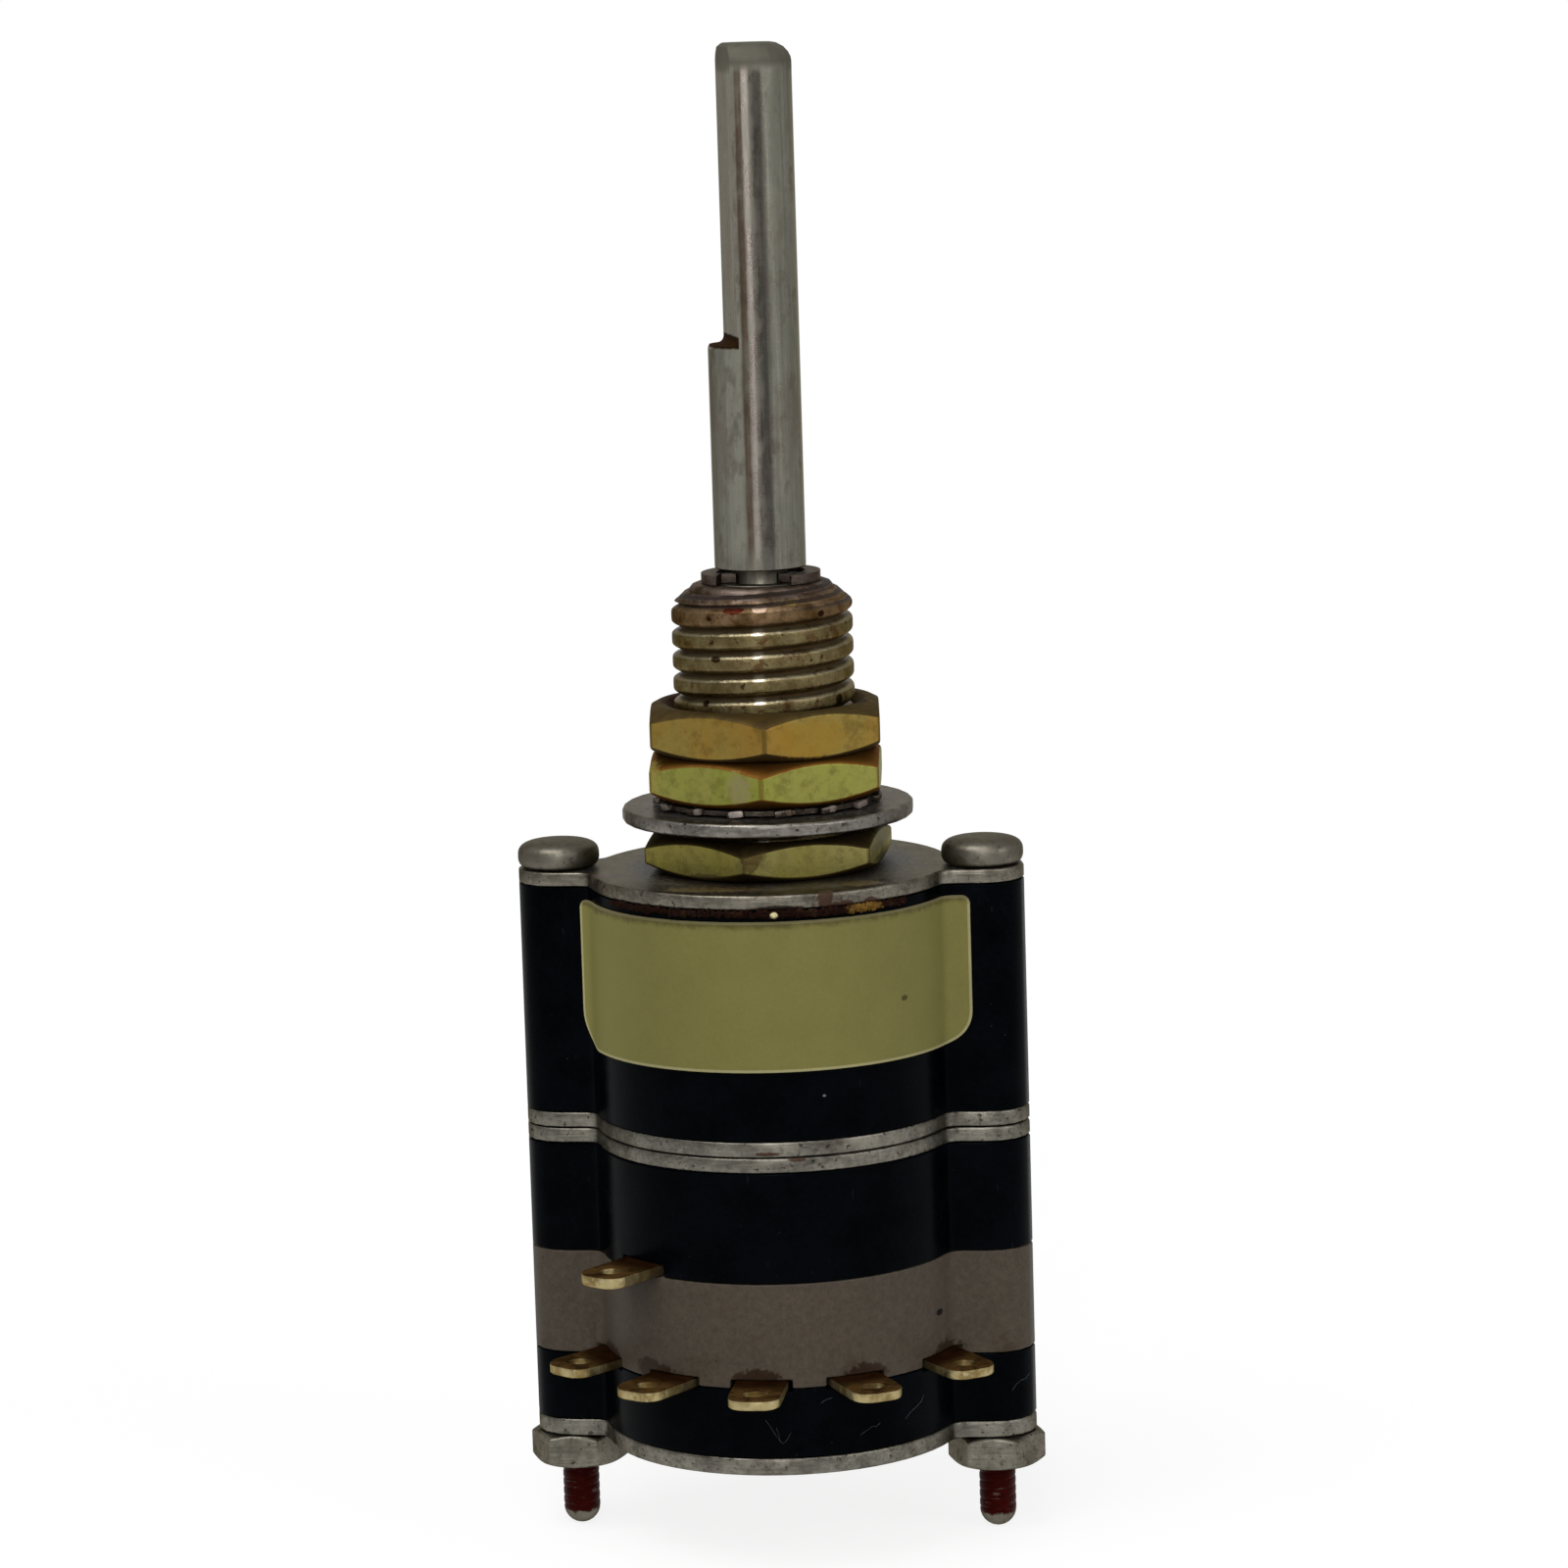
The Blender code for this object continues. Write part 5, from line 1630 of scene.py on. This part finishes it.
label_low, label_high = (corner.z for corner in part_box("label"))
label_start = (STRAIGHT - LABEL_LEFT) * MM
label_end = line_length - (STRAIGHT - LABEL_RIGHT) * MM
bpy.ops.object.select_all(action="DESELECT")
bpy.ops.mesh.primitive_plane_add(
    size=1,
    rotation=(math.pi / 2, 0, 0),
    location=((label_start + label_end) / 2, 0, (label_low + label_high) / 2),
)
label = bpy.context.active_object
label.scale = (label_end - label_start, label_high - label_low, 1)
label = settle()


def round_corner(piece, right, upper, radius):
    """Rounds one corner of a sheet."""
    edit(piece)
    bpy.ops.mesh.select_mode(type="VERT")
    bpy.ops.mesh.select_all(action="DESELECT")
    leave_edit()
    points = piece.data.vertices
    end_x = (max if right else min)(point.co.x for point in points)
    end_z = (max if upper else min)(point.co.z for point in points)
    for point in points:
        point.select = abs(point.co.x - end_x) < CLOSE and abs(point.co.z - end_z) < CLOSE
    bpy.ops.object.mode_set(mode="EDIT")
    bpy.ops.mesh.bevel(offset=radius, offset_type="OFFSET", segments=10, affect="VERTICES")
    leave_edit()


for right in (False, True):
    round_corner(label, right, False, BOTTOM_CORNERS[right] * MM)
    round_corner(label, right, True, TOP_CORNER * MM)
label.data.materials.append(label_rim_finish)
label.data.materials.append(label_finish)
edit(label)
bpy.ops.mesh.inset(thickness=RIM * MM)
label.active_material_index = 1
bpy.ops.object.material_slot_assign()
for cut in range(1, CUTS):
    bpy.ops.mesh.select_all(action="SELECT")
    where = label_start + (label_end - label_start) * cut / CUTS
    bpy.ops.mesh.bisect(plane_co=(where, 0, 0), plane_no=(1, 0, 0))
leave_edit()
print("label, flat, in mm:", [round(value / MM, 2) for value in label.dimensions])

# %% [markdown]
# ## The label, wrapped on
#
# A Curve modifier bends the sheet along the line. A simple bend takes one angle only, and this
# front has three curves. The film gets its thickness after that, because a thick sheet bent
# round a small corner would fold on its inner side.

# %% Wrapping
FILM = 0.07                     # thickness of the label

apply(label, "CURVE", object=bend, deform_axis="POS_X")
apply(label, "SOLIDIFY", thickness=FILM * MM, offset=0)
bpy.data.objects.remove(bend)
clean(label)
select_only(label)
bpy.ops.object.shade_smooth_by_angle(angle=math.radians(30))    # its cut rim stays sharp
label.name = "label_fine"
stand_for(label, "label")
print("label box in mm:", [round(value / MM, 2) for value in label.dimensions])

# %% [markdown]
# ## Crust under the plate
#
# Old flux and dirt have dried under the top plate's front edge. Sculpting would give the best
# crust, but it can't be repeated from a script. So a narrow profile is swept round the front,
# then shaken and smoothed into a ragged skin. Lumps on it start as balls and are shaken too.

# %% Crust
PLATE_UNDERSIDE = -0.50         # just inside the top plate
COLUMNS = 2.2                   # of faces in the skin, for each degree


def crust_lump(angle, height, size, seed):
    """A lump on the housing's front, at this angle in degrees. Size is across, out and up."""
    turn = math.radians(angle)
    out = BODY_RADIUS + 0.02
    bpy.ops.object.select_all(action="DESELECT")
    bpy.ops.mesh.primitive_ico_sphere_add(
        subdivisions=4,
        radius=MM,
        location=Vector((out * math.sin(turn), -out * math.cos(turn), height)) * MM,
        rotation=(0, 0, turn),
        scale=size,
    )
    lump = settle()
    edit(lump)
    shake(0.13, 4, seed)
    leave_edit()
    return lump


def shake(offset, smoothing, seed):
    """Moves the selected points at random by up to this many millimetres, and smooths them."""
    bpy.ops.transform.vertex_random(offset=offset * MM, uniform=0.7, normal=0.3, seed=seed)
    bpy.ops.mesh.vertices_smooth(factor=0.5, repeat=smoothing)


def crust_skin(start, end, depth, seed):
    """A ragged skin below the plate, between two angles in degrees, down to this depth."""
    steps = round((end - start) * COLUMNS)
    top = PLATE_UNDERSIDE - 0.05
    skin = draw("skin", millimetres([
        (BODY_RADIUS - 0.03, PLATE_UNDERSIDE),
        (BODY_RADIUS + 0.06, top),
        (BODY_RADIUS + 0.09, top - depth * 0.4),
        (BODY_RADIUS + 0.10, top - depth * 0.7),
        (BODY_RADIUS + 0.08, top - depth),
    ]))
    apply(skin, "SCREW", angle=math.radians(end - start), steps=steps, render_steps=steps)
    turn_mesh(skin, math.radians(start - 90))
    edit(skin)
    bpy.ops.mesh.subdivide(number_cuts=1)
    shake(0.17, 5, seed)
    leave_edit()
    apply(skin, "SOLIDIFY", thickness=0.04 * MM, offset=0)
    return skin


lumps = [
    crust_skin(-52, -24, 0.16, 31),
    crust_skin(-25, 8, 0.20, 32),
    crust_skin(6, 34, 0.24, 33),
    crust_skin(32, 54, 0.18, 34),
    crust_lump(7.0, -0.64, (0.50, 0.14, 0.14), 1),
    crust_lump(12.5, -0.62, (0.40, 0.15, 0.14), 2),
    crust_lump(8.6, -0.70, (0.11, 0.20, 0.10), 3),
    crust_lump(32.0, -0.66, (0.26, 0.18, 0.13), 4),
    crust_lump(36.5, -0.66, (0.24, 0.18, 0.13), 5),
    crust_lump(40.0, -0.68, (0.20, 0.16, 0.11), 6),
    crust_lump(-20.5, -0.66, (0.20, 0.14, 0.12), 7),
    crust_lump(-34.0, -0.66, (0.26, 0.12, 0.11), 8),
]
crust = join(lumps[0], lumps[1:])
crust.name = "crust"
crust.data.materials.append(crust_material)
select_only(crust)
bpy.ops.object.shade_smooth()
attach(crust, body_of("detent_housing"))
print("crust:", len(crust.data.polygons), "faces")

# %% [markdown]
# ## Lint on the lower wafer
#
# A few hairs of lint cling to the black wafer between the lugs. Particle hair is meant for
# thousands of strands and doesn't export. Six hairs are drawn one by one as short lines just
# off the surface, and given a thickness.

# %% Lint
HAIR = 0.007                    # radius of a hair, in millimetres


def hair(points):
    """A hair through these places, in millimetres."""
    strand = draw("hair", [Vector(point) * MM for point in points])
    select_only(strand)
    bpy.ops.object.convert(target="CURVE")
    strand.data.bevel_depth = HAIR * MM
    strand.data.bevel_resolution = 2
    bpy.ops.object.convert(target="MESH")
    return strand


def on_body(angle, height, lift=0.02):
    turn = math.radians(angle)
    out = BODY_RADIUS + lift
    return (out * math.sin(turn), -out * math.cos(turn), height)


hairs = [
    hair([on_body(1.0, -18.27), on_body(2.0, -18.42), on_body(3.6, -18.72),
          on_body(5.2, -18.98), on_body(6.3, -19.10, 0.06), on_body(7.6, -18.98),
          on_body(8.8, -18.73)]),
    hair([on_body(4.4, -18.55), on_body(5.0, -18.80), on_body(5.4, -19.04, 0.05)]),
    hair([on_body(31.0, -19.03), on_body(33.0, -18.92), on_body(35.1, -18.78, 0.05),
          on_body(36.4, -18.84), on_body(38.0, -18.72)]),
    hair([on_body(47.8, -18.79), on_body(50.0, -18.60), on_body(53.0, -18.42, 0.05),
          on_body(55.0, -18.33), on_body(56.2, -18.12)]),
    hair([(8.197, -1.46, -18.54), (8.33, -1.47, -18.32), (8.52, -1.47, -18.15),
          (8.66, -1.44, -18.12), (8.80, -1.36, -17.94)]),
    hair([on_body(18.5, -17.75), on_body(20.0, -17.62, 0.08), on_body(22.0, -17.60)]),
]
lint = join(hairs[0], hairs[1:])
lint.name = "lint"
lint.data.materials.append(lint_material)
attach(lint, body_of("lower_wafer"))
print("lint:", len(hairs), "hairs")

# %% [markdown]
# ## Inner pieces
#
# Nothing shows the detent and the wiper while the switch is closed, but they are real pieces.
# They could keep their plain colours. They carry real finishes too, because each of them can be
# taken out and used by itself.

# %% Inner pieces
for node, edge, finish, slot in (
    ("thrust_washer", 0.04, ring_finish, "dark_spring_steel"),
    ("detent_rotor", 0.06, acetal_finish, "natural_moulding"),
    ("detent_ball_front", 0.0, shaft_finish, "shaft_steel"),
    ("detent_ball_back", 0.0, shaft_finish, "shaft_steel"),
    ("detent_spring_front", 0.0, ring_finish, "dark_spring_steel"),
    ("detent_spring_back", 0.0, ring_finish, "dark_spring_steel"),
    ("stop_pin", 0.05, shaft_finish, "shaft_steel"),
    ("contact_rotor", 0.06, taupe_finish, "grey_moulding"),
    ("wiper", 0.03, gold_finish, "gold_plate"),
):
    dress(node, edge * MM, finish)

# %% [markdown]
# ## The floor
#
# The photograph has a white ground with hardly a shadow. A brightly lit floor would be white
# too, but it would light the switch from below. So the floor is a pale disc that glows only
# where the camera, a mirror or a glass sees it. It still takes the shadow, and it fades into
# the white background, so that no horizon shows.

# %% Floor
FLOOR_RADIUS = 130 * MM
FLOOR_GLOW = 0.84
FLOOR_TONE = 0.17
FADE = (30.0, 95.0)             # distances between which the floor turns white


def seen_directly(graph):
    """1 for rays of the camera, and for those that a shiny or clear surface sends on."""
    seen = 0.0
    for kind in ("Is Camera Ray", "Is Glossy Ray", "Is Transmission Ray"):
        seen = graph.maths("MAXIMUM", graph.node("LightPath", output=kind), seen)
    return seen


def floor_finish():
    finish = Finish("floor")
    distance = finish.node("VectorMath", {"operation": "LENGTH"}, {0: finish.place()}, "Value")
    far = finish.step(distance, *FADE)
    white = finish.node("Emission", {}, {"Color": (1, 1, 1), "Strength": 1.0})
    glow = finish.node("Emission", {}, {"Color": (1, 1, 1), "Strength": FLOOR_GLOW})
    finish.feed(finish.shader.inputs["Base Color"], (FLOOR_TONE,) * 3)
    finish.feed(finish.shader.inputs["Roughness"], 0.9)
    finish.feed(finish.shader.inputs["Specular IOR Level"], 0.0)
    plain = Shade(finish, finish.shader.outputs[0])
    lit = finish.node("AddShader", {}, {0: glow, 1: plain})
    paled = finish.node("MixShader", {}, {0: far, 1: lit, 2: white})
    shown = finish.node("MixShader", {}, {0: seen_directly(finish), 1: plain, 2: paled})
    finish.feed(finish.tree.nodes["Material Output"].inputs["Surface"], shown)
    return finish.material


bpy.ops.object.select_all(action="DESELECT")
bpy.ops.mesh.primitive_circle_add(
    vertices=96, radius=FLOOR_RADIUS, fill_type="NGON", location=(0, 0, solid_box[0].z)
)
floor = settle()
floor.name = "floor"
floor.data.materials.append(floor_finish())
print("floor at", round(solid_box[0].z / MM, 2), "mm")

# %% [markdown]
# ## The lamps
#
# The light in the photograph is soft and even, as under a ceiling of tubes: one tall highlight
# on the shaft, and the plates' tops a little brighter than their edges. Point lamps would give
# hard sparks on the metal. Three large area lamps are used, and the tall, narrow one in front
# draws the shaft's highlight.

# %% Lamps
def from_front(azimuth, elevation):
    """The direction at these degrees from the front towards +X, and up."""
    turn = math.radians(azimuth)
    lift = math.radians(elevation)
    return Vector((
        math.sin(turn) * math.cos(lift),
        -math.cos(turn) * math.cos(lift),
        math.sin(lift),
    ))


def soft_lamp(name, azimuth, elevation, distance, width, height, power):
    """A window of light that faces the switch."""
    toward = from_front(azimuth, elevation)
    bpy.ops.object.light_add(type="AREA", location=toward * distance)
    lamp = bpy.context.active_object
    lamp.name = name
    lamp.data.shape = "RECTANGLE"
    lamp.data.size = width
    lamp.data.size_y = height
    lamp.data.energy = power
    lamp.rotation_euler = toward.to_track_quat("Z", "Y").to_euler()
    return lamp


soft_lamp("key_lamp", 5, 28, distance=0.60, width=0.09, height=0.56, power=1.25)
soft_lamp("top_lamp", -35, 66, distance=0.60, width=0.36, height=0.36, power=2.0)
soft_lamp("fill_lamp", 62, 22, distance=0.70, width=0.40, height=0.40, power=1.2)

# %% [markdown]
# ## The studio
#
# The background is white. A world that is white all round would wash out the metal, so what
# it reflects from the front is a dimmer room, with a dark shape a little to the right of the
# lens that gives the shaft its dark band. Matt surfaces get one even, lower level.

# %% World
ROOM = 0.50                     # how bright the room in front looks in a reflection
SHAPE_DEPTH = 0.62              # how much of that the dark shape beside the camera hides
AMBIENT = 0.33                  # what the surroundings give a matt surface

world = bpy.data.worlds.new("studio")
bpy.context.scene.world = world
world.use_nodes = True
studio = Graph(world.node_tree)
direction = studio.node("TexCoord", output="Generated")
behind = studio.step(studio.axes(direction)[1], 0.70, 0.97)
towards = {0: direction, 1: from_front(31, -2)}
shape = studio.node("VectorMath", {"operation": "DOT_PRODUCT"}, towards, "Value")
shape = studio.step(shape, 0.93, 0.985)
room = (ROOM + (1.0 - ROOM) * behind) * (1 - shape * SHAPE_DEPTH)
glossy = studio.node("LightPath", output="Is Glossy Ray")
camera_ray = studio.node("LightPath", output="Is Camera Ray")
level = studio.node("Mix", {}, {0: glossy, 2: AMBIENT, 3: room})
level = studio.node("Mix", {}, {0: camera_ray, 2: level, 3: 1.0})
sky = world.node_tree.nodes["Background"]
studio.feed(sky.inputs["Color"], (1, 1, 1))
studio.feed(sky.inputs["Strength"], level)

bpy.context.scene.view_settings.view_transform = "Standard"
print("world:", len(world.node_tree.nodes), "nodes")
